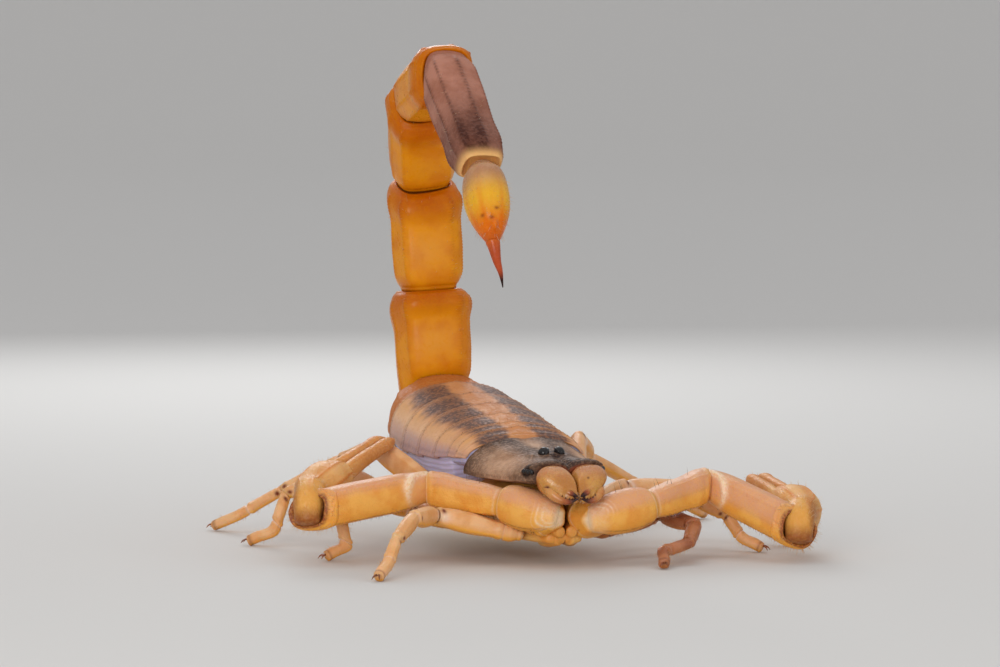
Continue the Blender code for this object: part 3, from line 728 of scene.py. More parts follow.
skin_finish = shell(
    "trunk_skin", (0.72, 0.47, 0.31), (0.60, 0.37, 0.25),
    ("side", (0.60, 0.60, 0.90), 0.95, 0.1),
    # painted shade in the folds
    ("fold", (0.20, 0.15, 0.20), 0.45, 0.0),
    roughness=0.55, grain=14000.0, relief=0.000008,
)
back_finish = shell(
    "back_shell", (0.66, 0.285, 0.115), (0.57, 0.23, 0.09),
    ("margin", (0.84, 0.53, 0.33), 0.9, 0.3),
    ("peach", (0.74, 0.36, 0.13), 0.7, 0.3),
    ("stripe", (0.105, 0.066, 0.060), 0.95, 0.25),
    ("ripe", (0.52, 0.145, 0.018), 0.9, 0.2),
    ("hem", (0.36, 0.27, 0.36), 0.75, 0.2),
    ("edge", (0.26, 0.14, 0.09), 0.7, 0.2),
    roughness=0.48, grain=7500.0, relief=0.00003, through=0.12, shine=0.18,
)
under_finish = shell(
    "belly_plates", (0.78, 0.50, 0.25), (0.66, 0.38, 0.16),
    ("slit", (0.07, 0.03, 0.02), 1.0, 0.0),
    ("edge", (0.84, 0.62, 0.40), 0.8, 0.0),
    roughness=0.30, grain=12000.0, relief=0.000006, coat=0.4,
)


def trunk_rings(first, last):
    """The rings of trunk solids in a row, in step, without the doubled ring where two of them meet."""
    rings = []
    names = [f"trunk_{number}" for number in range(first, last + 1)]
    for name, own in zip(names, rings_along(names, shield_front)):
        for ring in own if name == names[-1] else own[:-1]:
            rings.append(in_order(ring, rings[-1] if rings else None))
    return np.array(rings)


def skin_folds(u, v):
    """Fine lengthwise folds, from -1 in a fold to 1 between two."""
    return np.sin(u * 74 * math.tau + 0.7 * np.sin(v * 31))


def skin_relief(u, v):
    """Sunk under the plates, with folds down the sides."""
    return -0.10 - bump(abs(abs(u - 0.5) - 0.22), 0, 0.055) * (0.03 + 0.025 * skin_folds(u, v))


for name, first, last, along in (("trunk_skin_front", 1, 2, 30), ("trunk_skin", 3, 7, 150)):
    skin = Plate(trunk_rings(first, last), 288, along, skin_relief, (0.15, 0.1))
    flank = between(abs(skin.u - 0.5), 0.13, 0.19, 0.32, 0.36)
    # Painted shade: the skin is painted darker down in its folds.
    skin.paint(side=flank, fold=-np.clip(skin_folds(skin.u, skin.v), -1, 0) * flank)
    skin.piece(name, skin_finish, "trunk")


def strip(rings, start, end, reach, top, columns=120, rows=36):
    """One plate as a sheet over rings: from start to end (Y), out to reach each side of its middle line."""
    u = np.linspace(-reach, reach, columns)
    t = np.linspace(-0.12, 1.0, rows)[:, None] * np.ones(columns)
    places = rings[:, :, 1].mean(axis=1)
    around = rings.shape[1]
    spot = (u + (0.0 if top > 0 else 0.5)) % 1 * around
    left = np.floor(spot).astype(int)
    share = (spot - left)[:, None]
    lines = rings[:, left % around] * (1 - share) + rings[:, (left + 1) % around] * share
    corner = 0.30 * abs(u / reach) ** 5
    wanted = start + t * (end - start + LAP) - step(t, 0.5, 1.0) * corner
    table = np.stack([flow(places, lines[:, c], wanted[:, c]) for c in range(columns)], axis=1)
    facing = unit(np.cross(np.gradient(table, axis=1), np.gradient(table, axis=0)))
    middle = lines.mean(axis=(0, 1)) - (0, 0, 1.5 * top)
    return table, facing * np.sign((facing * (table - middle)).sum()), u * np.ones((rows, 1)), t


def sheet_piece(name, table, masks, thickness, finish, slot, *nodes):
    """The piece of a sheet, with its wall inwards."""
    piece = piece_of(name, draped(table, masks, False), finish, slot, *nodes)
    wall = piece.modifiers.new("wall", "SOLIDIFY")
    wall.thickness = thickness * MM
    wall.offset = -1


back_rings = round_rings(trunk_rings(1, 7), 128, UP)
borders = [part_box(f"trunk_{number}")[0].y / MM for number in range(1, 8)]
borders.append(back_rings[-1, :, 1].mean() - 0.25)
for number in range(1, 8):
    is_last = number == 7
    reach = BACK_REACH[number - 1]
    table, facing, u, t = strip(back_rings, *borders[number - 1:number + 1], reach, 1)
    keels = 0.07 * bump(u, 0, 0.012) * step(t, 0.25, 0.6)
    if is_last:
        keels = 0.09 * (bump(abs(u), 0.07, 0.012) + bump(abs(u), 0.15, 0.012)) * bump(t, 0.6, 0.28)
        keels *= 0.6 + 0.4 * wave(t, 18)
    beads = 0.5 + 0.5 * wave(u, 70)
    lift = -0.05 + 0.07 * step(t, -0.05, 0.1) + 0.09 * step(t, 0.4, 1.0)
    lift = lift + keels - 0.04 * bump(t, 0.2, 0.035) + 0.035 * bump(t, 0.985, 0.03) * beads
    lift += 0.05 * bump(abs(u), reach - 0.006, 0.010)
    table = table + facing * lift[..., None]
    side = abs(table[..., 0] - table[..., 0].mean(axis=1, keepdims=True))
    side /= side.max(axis=1, keepdims=True)
    ragged = 0.05 * np.sin(t * 5 + number) + 0.02 * np.sin(t * 23 + number * 2)
    stripe = between(side, 0.15 + ragged / 2, 0.27 + ragged / 2, 0.62 + ragged, 0.80 + ragged)
    line = 0.8 * bump(t, 0.955, 0.022) + 0.35 * bump(t, 0.2, 0.03)
    masks = {
        "stripe": stripe * (1 - 0.45 * step(t, 0.72, 0.97)) * (0.12 if is_last else 1.0),
        "margin": step(side, 0.66, 0.92) * MARGINS[number - 1],
        "peach": bump(side, 0.80, 0.10) * step(t, 0.1, 0.6),
        "ripe": t * 0 + is_last,
        "hem": step(side, 0.90, 0.995) * HEMS[number - 1],
        "edge": line + 0.5 * bump(abs(u), reach - 0.016, 0.006),
    }
    name = f"back_plate_{number}"
    sheet_piece(name, table, masks, 0.07, back_finish, "trunk", f"trunk_{number}")
    plates[name] = SimpleNamespace(points=table, facing=facing, u=u, v=t)

under_rings = round_rings(trunk_rings(3, 7), 128, UP)
for number in range(3, 8):
    table, facing, u, t = strip(under_rings, *borders[number - 1:number + 1], BELLY_REACH, -1)
    slit = bump(abs(u) + 0.03 * t, 0.125, 0.028) * bump(t + 1.2 * (abs(u) - 0.11), 0.52, 0.03) * (number < 7)
    keels = 0.05 * (bump(abs(u), 0.05, 0.01) + bump(abs(u), 0.12, 0.01)) * bump(t, 0.6, 0.3) * (number == 7)
    lift = -0.04 + 0.06 * step(t, -0.05, 0.1) + 0.07 * step(t, 0.4, 1.0) + keels - 0.05 * slit
    masks = {"slit": np.clip(slit * 1.6, 0, 1), "edge": bump(t, 0.97, 0.04)}
    table = table + facing * lift[..., None]
    sheet_piece(f"belly_plate_{number}", table, masks, 0.06, under_finish, "belly")

# --- Combs -------------------------------------------------------------------------------------------------
# A pair of flat feathery sense organs hinged under the belly behind the legs, each a thin stem with a row of
# soft teeth. Their solids have the full shape and take only a finish.

comb_finish = shell(
    "comb_shell", (0.82, 0.60, 0.38), (0.74, 0.48, 0.26), roughness=0.45, grain=16000.0, relief=0.000006
)
for word, sign in SIDES:
    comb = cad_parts[f"pectine_{word}"]
    comb.data.materials.clear()
    comb.data.materials.append(comb_finish)

# --- Tail --------------------------------------------------------------------------------------------------
# Five ringed segments that arch over the back. Each is a hard tube with beaded keels and hollow faces,
# and turns in the collar of the one before on a band of soft skin. The last is dark; the rest are orange.

TAIL_BEADS = 34  # along each keel
# Of the first four segments: painted joint shade at the near end and its reach; the pale saddle, a painted
# highlight.
TAIL_NEAR_BURNT = ((0.35, 0.10), (0.35, 0.10), (0.35, 0.10), (0.9, 0.30))
TAIL_SADDLE = (1.0, 1.0, 0.4, 0.4)

tail_finish = shell(
    "tail_shell", (0.78, 0.29, 0.002), (0.68, 0.21, 0.001),
    ("burnt", (0.46, 0.085, 0.0), 0.85, 0.1),
    ("pale", (0.80, 0.40, 0.12), 0.4, 0.2),
    ("keel", (0.24, 0.045, 0.003), 0.7, 0.4),
    ("soft", (0.62, 0.26, 0.06), 1.0, 0.0),
    roughness=0.33, grain=7000.0, relief=0.00001, shine=0.14,
)
tail_dark_finish = shell(
    "tail_dark_shell", (0.46, 0.20, 0.135), (0.34, 0.13, 0.080),
    ("burnt", (0.040, 0.006, 0.002), 0.95, 0.15),
    ("keel", (0.060, 0.018, 0.012), 0.8, 0.4),
    ("pale", (0.82, 0.46, 0.17), 0.95, 0.0),
    ("soft", (0.80, 0.38, 0.09), 1.0, 0.0),
    roughness=0.45, grain=7500.0, relief=0.000025, through=0.08, shine=0.12,
)


def tail_keels(u, v):
    """How far each point is on a keel: two along the inner face, then three pairs down to the outer face."""
    inner = pairs(u, (0.115,), 0.014) * (0.7 + 0.6 * step(v, 0.55, 0.88))
    return between(v, 0.05, 0.15, 0.90, 0.96) * (inner + pairs(u, (0.22, 0.33, 0.44), 0.012))


def tail_relief(u, v):
    """Beaded keels with hollow faces between them, and a collar at the far end."""
    keels = 0.065 * tail_keels(u, v) * (0.8 + 0.2 * wave(v, TAIL_BEADS))
    hollows = 0.07 * pairs(u, (0,), 0.065) + 0.03 * pairs(u, (0.165,), 0.035)
    hollows += 0.03 * pairs(u, (0.275, 0.385), 0.03)
    collar = 0.03 * bump(v, 0.955, 0.02) - 0.03 * step(v, 0.97, 1.0) - 0.04 * bump(v, 0.02, 0.02)
    return keels - hollows * between(v, 0.05, 0.2, 0.84, 0.95) + collar


names = [*(f"tail_{number}" for number in range(1, 6)), "sting_bulb", "sting"]
tail_rings = dict(zip(names, rings_along(names, middle_of("trunk_6"))))
curl_middle = np.mean([rings.mean(axis=(0, 1)) for rings in tail_rings.values()], axis=0)
for number in range(1, 6):
    name = f"tail_{number}"
    inwards = curl_middle - tail_rings[name].mean(axis=(0, 1))
    part = Plate(tail_rings[name], 160, 170, tail_relief, (0.25, -0.25), soft=(1, 0.5), top=inwards)
    keel = tail_keels(part.u, part.v) * (0.75 + 0.25 * wave(part.v, TAIL_BEADS))
    if number < 5:
        finish, slot, keel_share = tail_finish, "tail", 0.35
        strength, run = TAIL_NEAR_BURNT[number - 1]
        # Painted shade and highlight: the first four are painted darker towards their joints, where each
        # turns into the next, and paler down the middle of the inner face.
        burnt = step(part.v, 0.62, 0.95) * (0.75 + 0.25 * ridge(part.u, 0, 0.12))
        burnt += strength * (1 - step(part.v, 0.0, run))
        pale = 0.8 * bump(part.v, 0.40, 0.22) * ridge(part.u, 0, 0.10) * TAIL_SADDLE[number - 1]
    else:
        finish, slot, keel_share = tail_dark_finish, "tail_dark", 0.85
        grooves = ridge(part.u, 0.46, 0.035) + ridge(part.u, 0.54, 0.035)
        burnt = step(part.v, 0.30, 0.84) * (0.62 + 0.38 * grooves)
        pale = bump(part.v, 1.0, 0.040)
    part.paint(keel=np.clip(keel, 0, 1) * keel_share, burnt=np.clip(burnt, 0, 1), pale=pale)
    part.piece(f"tail_segment_{number}", finish, slot, name)

# --- Sting -------------------------------------------------------------------------------------------------
# A smooth swollen bulb that holds the venom, with a small blunt tooth where the hard curved spine leaves it.
# The bulb is glossy orange, paler at its base; the spine turns red-brown and ends in a black point.

SPINE_ROOT = 0.335  # radius where the spine leaves the bulb, and how much it has lost at its point
SPINE_TAPER = 0.30
SPECKS = ((0.52, 0.80, 0.022), (0.47, 0.70, 0.018), (0.60, 0.76, 0.02))  # place round and along, and size
bulb_finish = shell(
    "bulb_shell", (0.50, 0.27, 0.14), (0.44, 0.21, 0.10),
    ("amber", (0.79, 0.41, 0.02), 0.95, 0.0),
    ("ripe", (0.70, 0.14, 0.0), 0.95, 0.0),
    ("spine", (0.42, 0.060, 0.012), 0.95, 0.0),
    ("tip", (0.012, 0.003, 0.002), 1.0, 0.0),
    ("speck", (0.22, 0.03, 0.004), 0.8, 0.0),
    ("soft", (0.62, 0.26, 0.06), 1.0, 0.0),
    roughness=0.26, relief=0.000006, through=0.3, coat=0.05, shine=0.18,
)


def bulb_furrows(u, v, middle):
    """Faint furrows along the bulb's outer side, deepest at a place on its length."""
    return pairs(u, (0.30, 0.42), 0.02) * bump(v, middle, 0.25)


def bulb_relief(u, v):
    """A tooth under the root of the spine, and the furrows."""
    tooth = 0.26 * ridge(u, 0.5, 0.035) * bump(v, 0.88, 0.045)
    return tooth - 0.018 * bulb_furrows(u, v, 0.45) - 0.05 * bump(v, 0.02, 0.04)


def spine_warp(points, u, v):
    """Widen the root of the spine to meet the bulb, and taper it evenly to its point."""
    middle = points.mean(axis=1, keepdims=True)
    wide = np.linalg.norm(points - middle, axis=2).mean(axis=1)[:, None, None]
    wanted = (SPINE_ROOT - SPINE_TAPER * v**0.85)[..., None]
    curve = np.array((0.14, 0, 0.05)) * np.sin(math.pi * v)[..., None]
    return middle + (points - middle) * wanted / wide + curve


inwards = curl_middle - tail_rings["sting_bulb"].mean(axis=(0, 1))
bulb = Plate(tail_rings["sting_bulb"], 128, 128, bulb_relief, (0.2, 0.05), soft=(1, 0), top=inwards)
bulb.paint(
    amber=step(bulb.v, 0.18, 0.54),
    ripe=np.clip(step(bulb.v, 0.54, 0.90) + 0.35 * bulb_furrows(bulb.u, bulb.v, 0.62), 0, 1),
    spine=0.5 * step(bulb.v, 0.88, 1.0),
    speck=np.clip(sum(arc(bulb, around, along, 0, size) for around, along, size in SPECKS), 0, 1),
)
bulb.piece("sting_bulb_shell", bulb_finish, "bulb", "sting_bulb")
spine = Plate(tail_rings["sting"], 48, 80, None, (0.1, 0.12), spine_warp, soft=(0, 0), top=inwards)
spine.paint(
    ripe=1 - step(spine.v, 0.0, 0.4), spine=step(spine.v, -0.3, 0.3), tip=step(spine.v, 0.62, 0.92)
)
spine.piece("sting_spine", bulb_finish, "sting", "sting")

# --- Pincer arms -------------------------------------------------------------------------------------------
# Two arms of hard keeled tubes: upper arm, forearm, and a slim hand with one fixed and one hinged finger.
# Each is socketed in the end of the one before, with a pale ball at the elbow and a dark rim at the wrist.

WRIST_VIEW = np.array((-0.34, -0.94, 0.07))  # the way that the open wrists look
AWAY = np.array((0.94, -0.34, 0.0))  # from the head out to the left hand
ELBOW_TALL = 0.68  # width of the elbow's marks against their length
HAND_BASE = (0.62, 0.70, 0.72)  # radii of the hand inside the wrist
# Painted sheen: an arm segment is painted pink above its brow.
BROWS = {"left": (0.10, 0.10), "right": (0.35, 0.55)}  # how far up the pink starts on upper arm and forearm

hand_finish = shell(
    "hand_shell", (0.82, 0.46, 0.16), (0.74, 0.36, 0.10),
    ("yolk", (0.72, 0.335, 0.060), 0.85, 0.3),
    # painted shade on the hand's base, low in the wrist and on its outer side
    ("rust", (0.26, 0.055, 0.012), 0.85, 0.2),
    ("upper", (0.72, 0.38, 0.17), 0.4, 0.25),
    ("keel", (0.62, 0.17, 0.015), 0.8, 0.2),
    ("finger", (0.58, 0.20, 0.05), 0.7, 0.3),
    ("tooth", (0.16, 0.03, 0.012), 0.95, 0.0),
    ("soft", SKIN_PALE, 1.0, 0.0),
    roughness=0.42, relief=0.000022, shine=0.2,
)


def open_wrist(points, u, v):
    """Widen the forearm's end into a collar and cut it at a slant, so that its socket opens forwards."""
    middle = points.mean(axis=1, keepdims=True)
    points = middle + (points - middle) * (1 + 0.15 * step(v, 0.93, 1.0))[..., None]
    along = unit(points[-1].mean(axis=0) - points[-12].mean(axis=0))
    mouth = along * 0.55 + WRIST_VIEW * 0.83
    slant = -((points - middle) @ mouth) / (along @ mouth) - 0.25 - 0.25 * wave(u).clip(0, 1)
    return points + along * (slant * step(v, 0.68, 1.0))[..., None]


def hand_keels(u, v):
    """Low keels over the palm."""
    return between(v, 0.10, 0.25, 0.52, 0.66) * pairs(u, (0.08, 0.22, 0.36), 0.012)


for word, sign in SIDES:
    names = [f"pedipalp_{part}_{word}" for part in ("trochanter", "femur", "patella", "hand")]
    _, upper_arm, forearm, palm = rings_along(names, shield_front)
    front = 0.5 - 0.25 * sign
    part = Plate(upper_arm, 128, 150, arm_relief, (0.42, -0.12))
    arm_masks(part, 0.0, BROWS[word][0])
    part.paint(pale=0.35 * bump(part.v, 0.03, 0.014) + 0.6 * bump(part.v, 0.985, 0.010))
    part.piece(f"upper_arm_{word}", arm_finish, "arm", names[1])
    part = Plate(forearm, 128, 170, arm_relief, (0.42, -0.75), open_wrist, soft=(1, 0.12))
    # The dark far rim carries on over the inside of the wrist's socket: a dark rim of the shell's own, with
    # painted shade inside.
    arm_masks(part, 1.0, BROWS[word][1])
    # The elbow's pale crescent is stronger on top, and the top inside it is painted pink: the ball's own
    # pale colour with a painted highlight on it.
    above = wave(part.u)
    crescent = arc(part, front, 0.0, 0.135, 0.024, ELBOW_TALL) * (0.25 + 0.75 * step(above, -0.7, 0.3))
    crescent += arc(part, front, 0.0, 0.150, 0.036, ELBOW_TALL) * step(above, -0.2, 0.6)
    inside = 1 - step(distance(part, front, 0.0, ELBOW_TALL), 0.08, 0.135)
    part.paint(pale=np.clip(1.2 * crescent, 0, 1), upper=np.clip(part.masks["upper"] + 0.6 * inside, 0, 1))
    part.points += part.facing * (0.07 * crescent + 0.03 * inside)[..., None]
    part.piece(f"forearm_{word}", arm_finish, "arm", names[2])
    mouth = part.points[-1].mean(axis=0)
    heel = palm[2].mean(axis=0)
    path = [mouth - UP * 0.42, mouth * 0.9 + heel * 0.1 + UP * 0.25, (mouth + heel) / 2 + UP * 0.45]
    rings = [*tube(path, HAND_BASE, 12), *palm[2:]]
    for number in range(1, len(rings)):
        rings[number] = in_order(rings[number], rings[number - 1])
    relief = lambda u, v: 0.04 * hand_keels(u, v)
    hand = Plate(np.array(rings), 112, 190, relief, (0.24, 0.1), soft=(0, 0))
    keels = hand_keels(hand.u, hand.v) + 0.5 * ridge(hand.u, 0.04, 0.03) * step(hand.v, 0.05, 0.2)
    # Painted shade: the hand's base is painted darker on its lower side and on its outer side, deep in the
    # wrist.
    low = 1 - step(hand.points[..., 2] - mouth[2], -0.40, 0.42)
    aside = 0.75 * step(sign * ((hand.points - mouth) @ AWAY), 0.30, 0.66)
    hand.paint(
        # Painted sheen: the top of the palm is painted pinkish.
        upper=step(wave(hand.u), 0.2, 0.9) * between(hand.v, 0.2, 0.35, 0.4, 0.6),
        yolk=1 - step(hand.v, 0.22, 0.42),
        rust=np.maximum(low, aside) * (1 - step(hand.v, 0.15, 0.3)),
        keel=np.clip(keels, 0, 1),
        finger=step(hand.v, 0.50, 0.72),
        # Painted shade: the hand's near end, deep in the wrist's socket, is painted a little darker in the
        # tooth colour.
        tooth=0.25 * bump(hand.v, 0.0, 0.03),
    )
    hand.piece(f"hand_{word}", hand_finish, "arm", names[3])
    rings = rings_of(f"pedipalp_finger_{word}", palm[0].mean(axis=0))
    finger = Plate(rings, 48, 110, None, (0.3, 0.1), soft=(0, 0))
    finger.paint(finger=step(finger.v, -0.2, 0.5), keel=0.6 * ridge(finger.u, 0.1, 0.03))
    shape = finger.shape()
    tooth_layer = shape.verts.layers.float.new("tooth")
    fixed_side = hand.points[120:].mean(axis=1)
    for row in range(12, 106, 3):
        root = finger.points[row].mean(axis=0)
        across = unit(fixed_side[np.argmin(np.linalg.norm(fixed_side - root, axis=1))] - root)
        width = np.linalg.norm(finger.points[row] - root, axis=1).mean()
        size = 0.05 if row % 12 else 0.075
        for vertex in spike(shape, root + across * width * 0.9, across, size * 0.7, size * 1.5, 6):
            vertex[tooth_layer] = 1.0
    plates[f"finger_{word}"] = finger
    piece_of(f"finger_{word}", shape, hand_finish, "arm", f"pedipalp_finger_{word}")

# --- Legs --------------------------------------------------------------------------------------------------
# Eight slender walking legs of pale shell. A leg is a thigh with a swollen hip joint, a shank bent at a
# dark-spotted knee, and a thin foot that ends in two small curved claws.

CLAW_RADII = (0.055, 0.05, 0.035, 0.012)
CLAW_LENGTH = 0.42
CLAW_SPREAD = 0.45  # turn of each claw out from the foot, in radians

leg_finish = shell(
    "leg_shell", (0.80, 0.45, 0.21), (0.72, 0.35, 0.13),
    ("edge", (0.80, 0.36, 0.05), 0.8, 0.1),
    ("pale", (0.84, 0.64, 0.50), 0.8, 0.1),
    ("spot", (0.15, 0.024, 0.008), 0.95, 0.0),
    ("soft", SKIN_PALE, 1.0, 0.0),
    roughness=0.38, grain=12000.0, relief=0.00002,
)
# A darker copy of the leg shell: painted shade for the front leg on the left, which stands under its pincer
# arm.
leg_dark_finish = shell(
    "leg_dark_shell", (0.44, 0.17, 0.075), (0.30, 0.095, 0.04),
    ("edge", (0.50, 0.18, 0.04), 0.7, 0.2),
    ("pale", (0.62, 0.36, 0.24), 0.6, 0.1),
    ("spot", (0.08, 0.015, 0.010), 0.9, 0.25),
    ("soft", SKIN_PALE, 1.0, 0.0),
    grain=9500.0, relief=0.000009,
)
claw_brown = shell("foot_claw", (0.20, 0.06, 0.02), (0.10, 0.03, 0.012), roughness=0.25, coat=0.4)


def leg_keels(u, v):
    return 0.03 * pairs(u, (0.13, 0.37), 0.025) * bump(v, 0.5, 0.32)


def leg_ends(v):
    """A collar at the far end of a thigh or shank, and a neck at the near end."""
    return 0.04 * bump(v, 0.955, 0.02) - 0.03 * bump(v, 0.02, 0.02)


def thigh_relief(u, v):
    """A ring and a groove part the hip joint from the thigh."""
    ring = 0.03 * bump(v, 0.10, 0.05) - 0.05 * bump(v, 0.20, 0.012) + 0.02 * bump(v, 0.26, 0.03)
    return leg_keels(u, v) + leg_ends(v) + ring


def shank_relief(u, v):
    """A ring and a groove at the knee within the shank."""
    return leg_keels(u, v) + leg_ends(v) + 0.05 * bump(v, 0.50, 0.025) - 0.05 * bump(v, 0.54, 0.012)


def foot_relief(u, v):
    """A ring and a groove at the joint within the foot."""
    joint = 0.03 * bump(v, 0.42, 0.03) - 0.05 * bump(v, 0.47, 0.014)
    return 0.6 * leg_keels(u, v) + joint - 0.03 * bump(v, 0.02, 0.02)


# For each part of a leg: its node and its name, its relief, its far cap and how soft that is, its spots as
# (round from the front, along, size, tall) and its pale marks along it as (place, width, strength).
LEG_PARTS = (
    ("femur", "thigh", thigh_relief, -0.12, 0.6, [(-0.12, 0.955, 0.024, 0.5)], [(0.205, 0.012, 0.35)]),
    ("shank", "shank", shank_relief, -0.12, 0.6, [(0, 0.49, 0.018, 0.4), (0, 0.965, 0.020, 0.4)],
     [(0.02, 0.02, 1.0), (0.545, 0.012, 0.6)]),
    ("foot", "foot", foot_relief, 0.10, 0, [(0, 0.05, 0.03, 0.4)], [(0.475, 0.014, 0.8)]),
)

for word, sign in SIDES:
    front = 0.5 - 0.25 * sign
    for number in range(1, 5):
        leg = f"leg_{word}_{number}"
        # The front left leg takes the darker copy, as painted shade.
        finish = leg_dark_finish if leg == "leg_left_1" else leg_finish
        chain = rings_along([f"{leg}_{names[0]}" for names in LEG_PARTS], middle_of("coxal_plate"))
        for rings, (node_name, label, relief, cap, soft, spots, marks) in zip(chain, LEG_PARTS):
            part = Plate(rings, 64, 100, relief, (0.2, cap), soft=(1, soft))
            dark = sum(arc(part, front + out * sign, v, 0, size, tall) for out, v, size, tall in spots)
            pale = sum(strength * bump(part.v, place, width) for place, width, strength in marks)
            if label == "thigh":
                pale = pale + arc(part, front, 0.955, 0.0, 0.07, 0.7)
            if label == "foot":
                dark = dark + 0.4 * bump(part.v, 0.97, 0.03)
            part.paint(
                edge=step(-wave(part.u), 0.1, 0.8) + 0.6 * ridge(part.u, front + 0.12 * sign, 0.03),
                spot=np.clip(1.3 * dark, 0, 1),
                pale=np.clip(pale, 0, 1),
            )
            part.piece(f"{leg}_{label}", finish, "leg", f"{leg}_{node_name}")
        toe = rings[-1].mean(axis=0)
        outwards = unit((toe - rings[-3].mean(axis=0)) * (1, 1, 0))
        for end, turn in (("a", CLAW_SPREAD), ("b", -CLAW_SPREAD)):
            heading = np.array((*(Matrix.Rotation(turn, 2) @ Vector(outwards[:2])), 0.0))
            tip = toe + heading * CLAW_LENGTH
            tip[2] = max(0.025, toe[2] - 0.12)
            path = [toe - heading * 0.05, toe + heading * 0.15 + (0, 0, 0.06), toe + heading * 0.32, tip]
            claw = Plate(tube(path, CLAW_RADII, 8), 10, 14, None, (0.02, 0.01))
            claw.piece(f"{leg}_claw_{end}", claw_brown, "leg")

# --- Bristles ----------------------------------------------------------------------------------------------
# Fine stiff hairs of shell, each in its own pore: a few long dark ones upright on the arms, and short
# pale ones at the jaws, the wrists and the bulb, on the legs and along the lower edges of the limbs.

TILES = 8  # plates side by side on the map of a coat
PATCH = 0.0015  # half the width of a bristle's patch on the map
FLOOR_GAP = 0.03  # a bristle that would reach lower is left out

bristle_dark = shell("bristle_dark", (0.11, 0.05, 0.025), (0.05, 0.02, 0.012), roughness=0.4)
bristle_pale = shell("bristle_pale", (0.80, 0.58, 0.36), (0.66, 0.38, 0.16), roughness=0.4)


class Coat:
    """Bristles set on plates. On its map a plate has a tile, and a bristle has a small patch at its root."""

    def __init__(self, seed):
        self.shape = bmesh.new()
        self.map = self.shape.loops.layers.uv.new("OFBake")
        self.chance = np.random.default_rng(seed)
        self.plates = 0

    def on(self, name, count, length, width, where, lean=0.5):
        """Set bristles on a plate, the more the higher the share where(u, v)."""
        plate = plates[name]
        share = (where(plate.u, plate.v) * np.ones_like(plate.v)).clip(0, 1).ravel()
        tile = Vector((self.plates % TILES, self.plates // TILES))
        self.plates += 1
        onward = unit(np.gradient(plate.points, axis=0))
        for spot in self.chance.choice(len(share), count, p=share / share.sum()):
            at = divmod(int(spot), plate.points.shape[1])
            root, out = plate.points[at], plate.facing[at]
            heading = Vector(out + onward[at] * lean + self.chance.normal(0, 0.16, 3)).normalized()
            size = length * self.chance.uniform(0.55, 1.0)
            if root[2] + heading.z * size < FLOOR_GAP:
                continue
            patch = (tile + Vector((plate.u[at] % 1, plate.v[at].clip(0.01, 0.99)))) / TILES
            made = spike(self.shape, root + out * size * 0.05, heading, width, size, 3)
            for corner in dict.fromkeys(loop for vertex in made for loop in vertex.link_loops):
                offset = corner.vert.co - Vector(root)
                high = offset.dot(heading) > size * 0.5
                sideways = offset.cross(heading).normalized() * (0.0 if high else PATCH)
                corner[self.map].uv = patch + sideways.xy


def lower_edge(u, v):
    """Along the underside of a limb, clear of its joints."""
    return ridge(u, 0.5, 0.09) * between(v, 0.08, 0.2, 0.85, 0.95)


def anywhere(u, v):
    """All round a limb, and more along its underside."""
    return 0.25 + ridge(u, 0.5, 0.2)


def on_top(place):
    """Along the top of a limb, round one place on its length."""
    return lambda u, v: ridge(u, 0, 0.055) * bump(v, place, 0.2)


def inner_face(u, v):
    """The lower and inner side of a jaw, near its fingers."""
    return ridge(u, 0.5, 0.2) * bump(v, 0.85, 0.12)


dark_coat = Coat(11)
pale_coat = Coat(12)
for word, sign in SIDES:
    dark_coat.on(f"arm_stem_{word}", 3, 0.7, 0.012, on_top(0.6), 0.0)
    dark_coat.on(f"arm_stem_{word}", 40, 0.16, 0.008, lower_edge)
    dark_coat.on(f"upper_arm_{word}", 5, 0.6, 0.012, on_top(0.3), 0.1)
    dark_coat.on(f"upper_arm_{word}", 110, 0.16, 0.008, lower_edge)
    dark_coat.on(f"forearm_{word}", 60, 0.18, 0.008, lower_edge)
    dark_coat.on(f"jaw_{word}", 30, 0.22, 0.010, inner_face, 0.3)
    pale_coat.on(f"jaw_{word}", 50, 0.22, 0.010, inner_face, 0.8)
    pale_coat.on(f"forearm_{word}", 170, 0.34, 0.010, lambda u, v: bump(v, 0.95, 0.04), 0.2)
    pale_coat.on(f"hand_{word}", 170, 0.32, 0.009, lambda u, v: bump(v, 0.35, 0.25))
    pale_coat.on(f"finger_{word}", 90, 0.25, 0.008, lambda u, v: 1.0)
    for number in range(1, 5):
        pale_coat.on(f"leg_{word}_{number}_thigh", 40, 0.20, 0.008, lower_edge)
        pale_coat.on(f"leg_{word}_{number}_shank", 80, 0.26, 0.008, anywhere)
        pale_coat.on(f"leg_{word}_{number}_foot", 110, 0.24, 0.008, anywhere)
for number in range(1, 6):
    pale_coat.on(f"tail_segment_{number}", 60, 0.26, 0.009, lambda u, v: tail_keels(u, v) + 0.1)
pale_coat.on("sting_bulb_shell", 150, 0.34, 0.009, lambda u, v: step(v, 0.1, 0.3), 0.7)
for number in range(1, 8):
    dark_coat.on(f"back_plate_{number}", 40, 0.10, 0.007, lambda u, v: bump(v, 0.93, 0.05), 0.8)
piece_of("bristles_dark", dark_coat.shape, bristle_dark, "arm")
piece_of("bristles_pale", pale_coat.shape, bristle_pale, "leg")

# --- Studio ------------------------------------------------------------------------------------------------
# A plain pale floor with soft lamps over it, and the camera low in front of the animal, a little to its
# right, with a long lens.

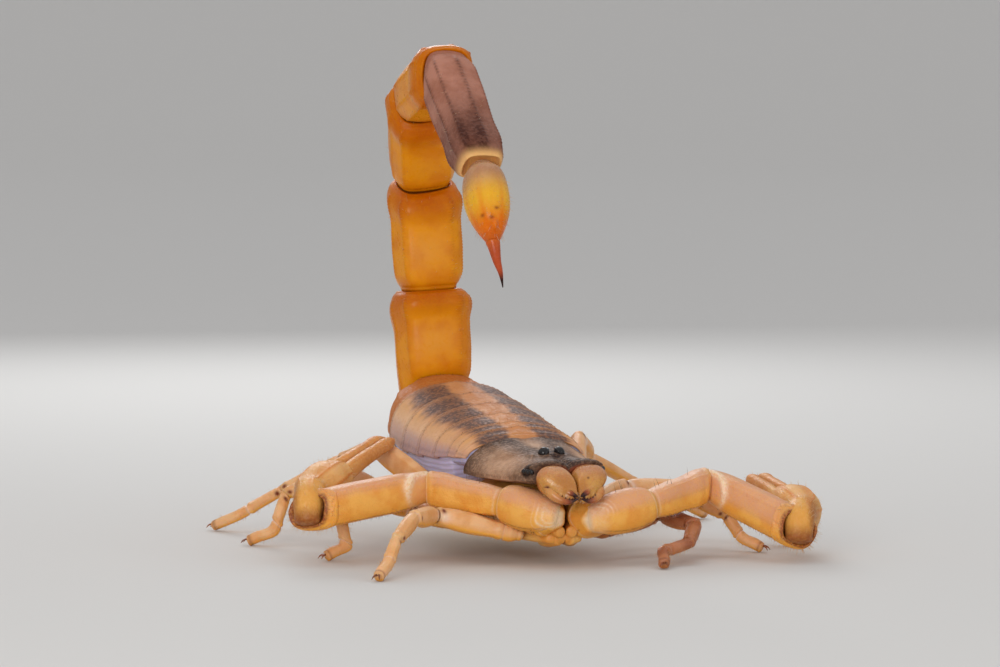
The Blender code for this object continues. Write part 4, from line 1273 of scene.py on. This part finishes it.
FLOOR_RADIUS = 0.55  # metres, and so is the bend where the floor turns up into a low wall
FLOOR_BEND = 0.45
MIDDLE = (-2, -4, 9)  # the point that the lamps face
LAMPS = (  # name, place, size, power and colour
    ("lamp_front", (-95, -135, 38), 70, 0.105, (1.0, 0.98, 0.95)),
    ("lamp_right", (80, -125, 25), 80, 0.024, (1.0, 0.98, 0.96)),
    ("lamp_top", (0, 10, 120), 90, 0.012, (1, 1, 1)),
    ("lamp_back", (20, 110, 70), 60, 0.04, (0.96, 0.98, 1.0)),
)
AIM = (-3.79, -7.60, 10.62)  # the point in the middle of the view
SIGHT = Vector((0.3412, 0.9374, -0.0698)).normalized()
CAMERA_AWAY = 0.2  # metres
LENS = 158.4

floor_shape = bmesh.new()
bmesh.ops.create_circle(floor_shape, cap_ends=True, segments=96, radius=FLOOR_RADIUS)
rim_edges = floor_shape.edges[:]
for count in range(1, 13):
    turn = math.radians(count * 7)
    grown = bmesh.ops.extrude_edge_only(floor_shape, edges=rim_edges)["geom"]
    rim_edges = [item for item in grown if isinstance(item, bmesh.types.BMEdge)]
    reach, height = FLOOR_RADIUS + FLOOR_BEND * math.sin(turn), FLOOR_BEND * (1 - math.cos(turn))
    for vertex in {vertex for edge in rim_edges for vertex in edge.verts}:
        vertex.co = Vector((vertex.co.x, vertex.co.y, 0)).normalized() * reach + Vector((0, 0, height))
    rim_edges = [edge for edge in rim_edges if all(abs(v.co.z - height) < 1e-6 for v in edge.verts)]
floor_paper, tree, paper_shader = new_material("floor_paper")
feed(tree, paper_shader, {"Base Color": (0.68, 0.665, 0.64, 1), "Roughness": 0.9})
object_of("floor", floor_shape, floor_paper)


def put(name, data, place, facing):
    """A lamp or camera at a place in metres, looking along a direction."""
    made = bpy.data.objects.new(name, data)
    made.location = place
    made.rotation_euler = facing.to_track_quat("-Z", "Y").to_euler()
    bpy.context.scene.collection.objects.link(made)
    return made


for name, place, size, power, colour in LAMPS:
    lamp = bpy.data.lights.new(name, "AREA")
    lamp.size, lamp.energy, lamp.color = size * MM, power, colour
    put(name, lamp, Vector(place) * MM, Vector(MIDDLE) * MM - Vector(place) * MM)

sky = bpy.data.worlds.new("studio")
sky.use_nodes = True
feed(sky.node_tree, sky.node_tree.nodes["Background"], {"Color": (0.96, 0.97, 1.0, 1), "Strength": 0.66})
bpy.context.scene.world = sky
bpy.context.scene.view_settings.view_transform = "Standard"

view = bpy.data.cameras.new("camera")
view.lens, view.sensor_width, view.clip_start = LENS, 36, 0.01
bpy.context.scene.camera = put("camera", view, Vector(AIM) * MM - SIGHT * CAMERA_AWAY, SIGHT)
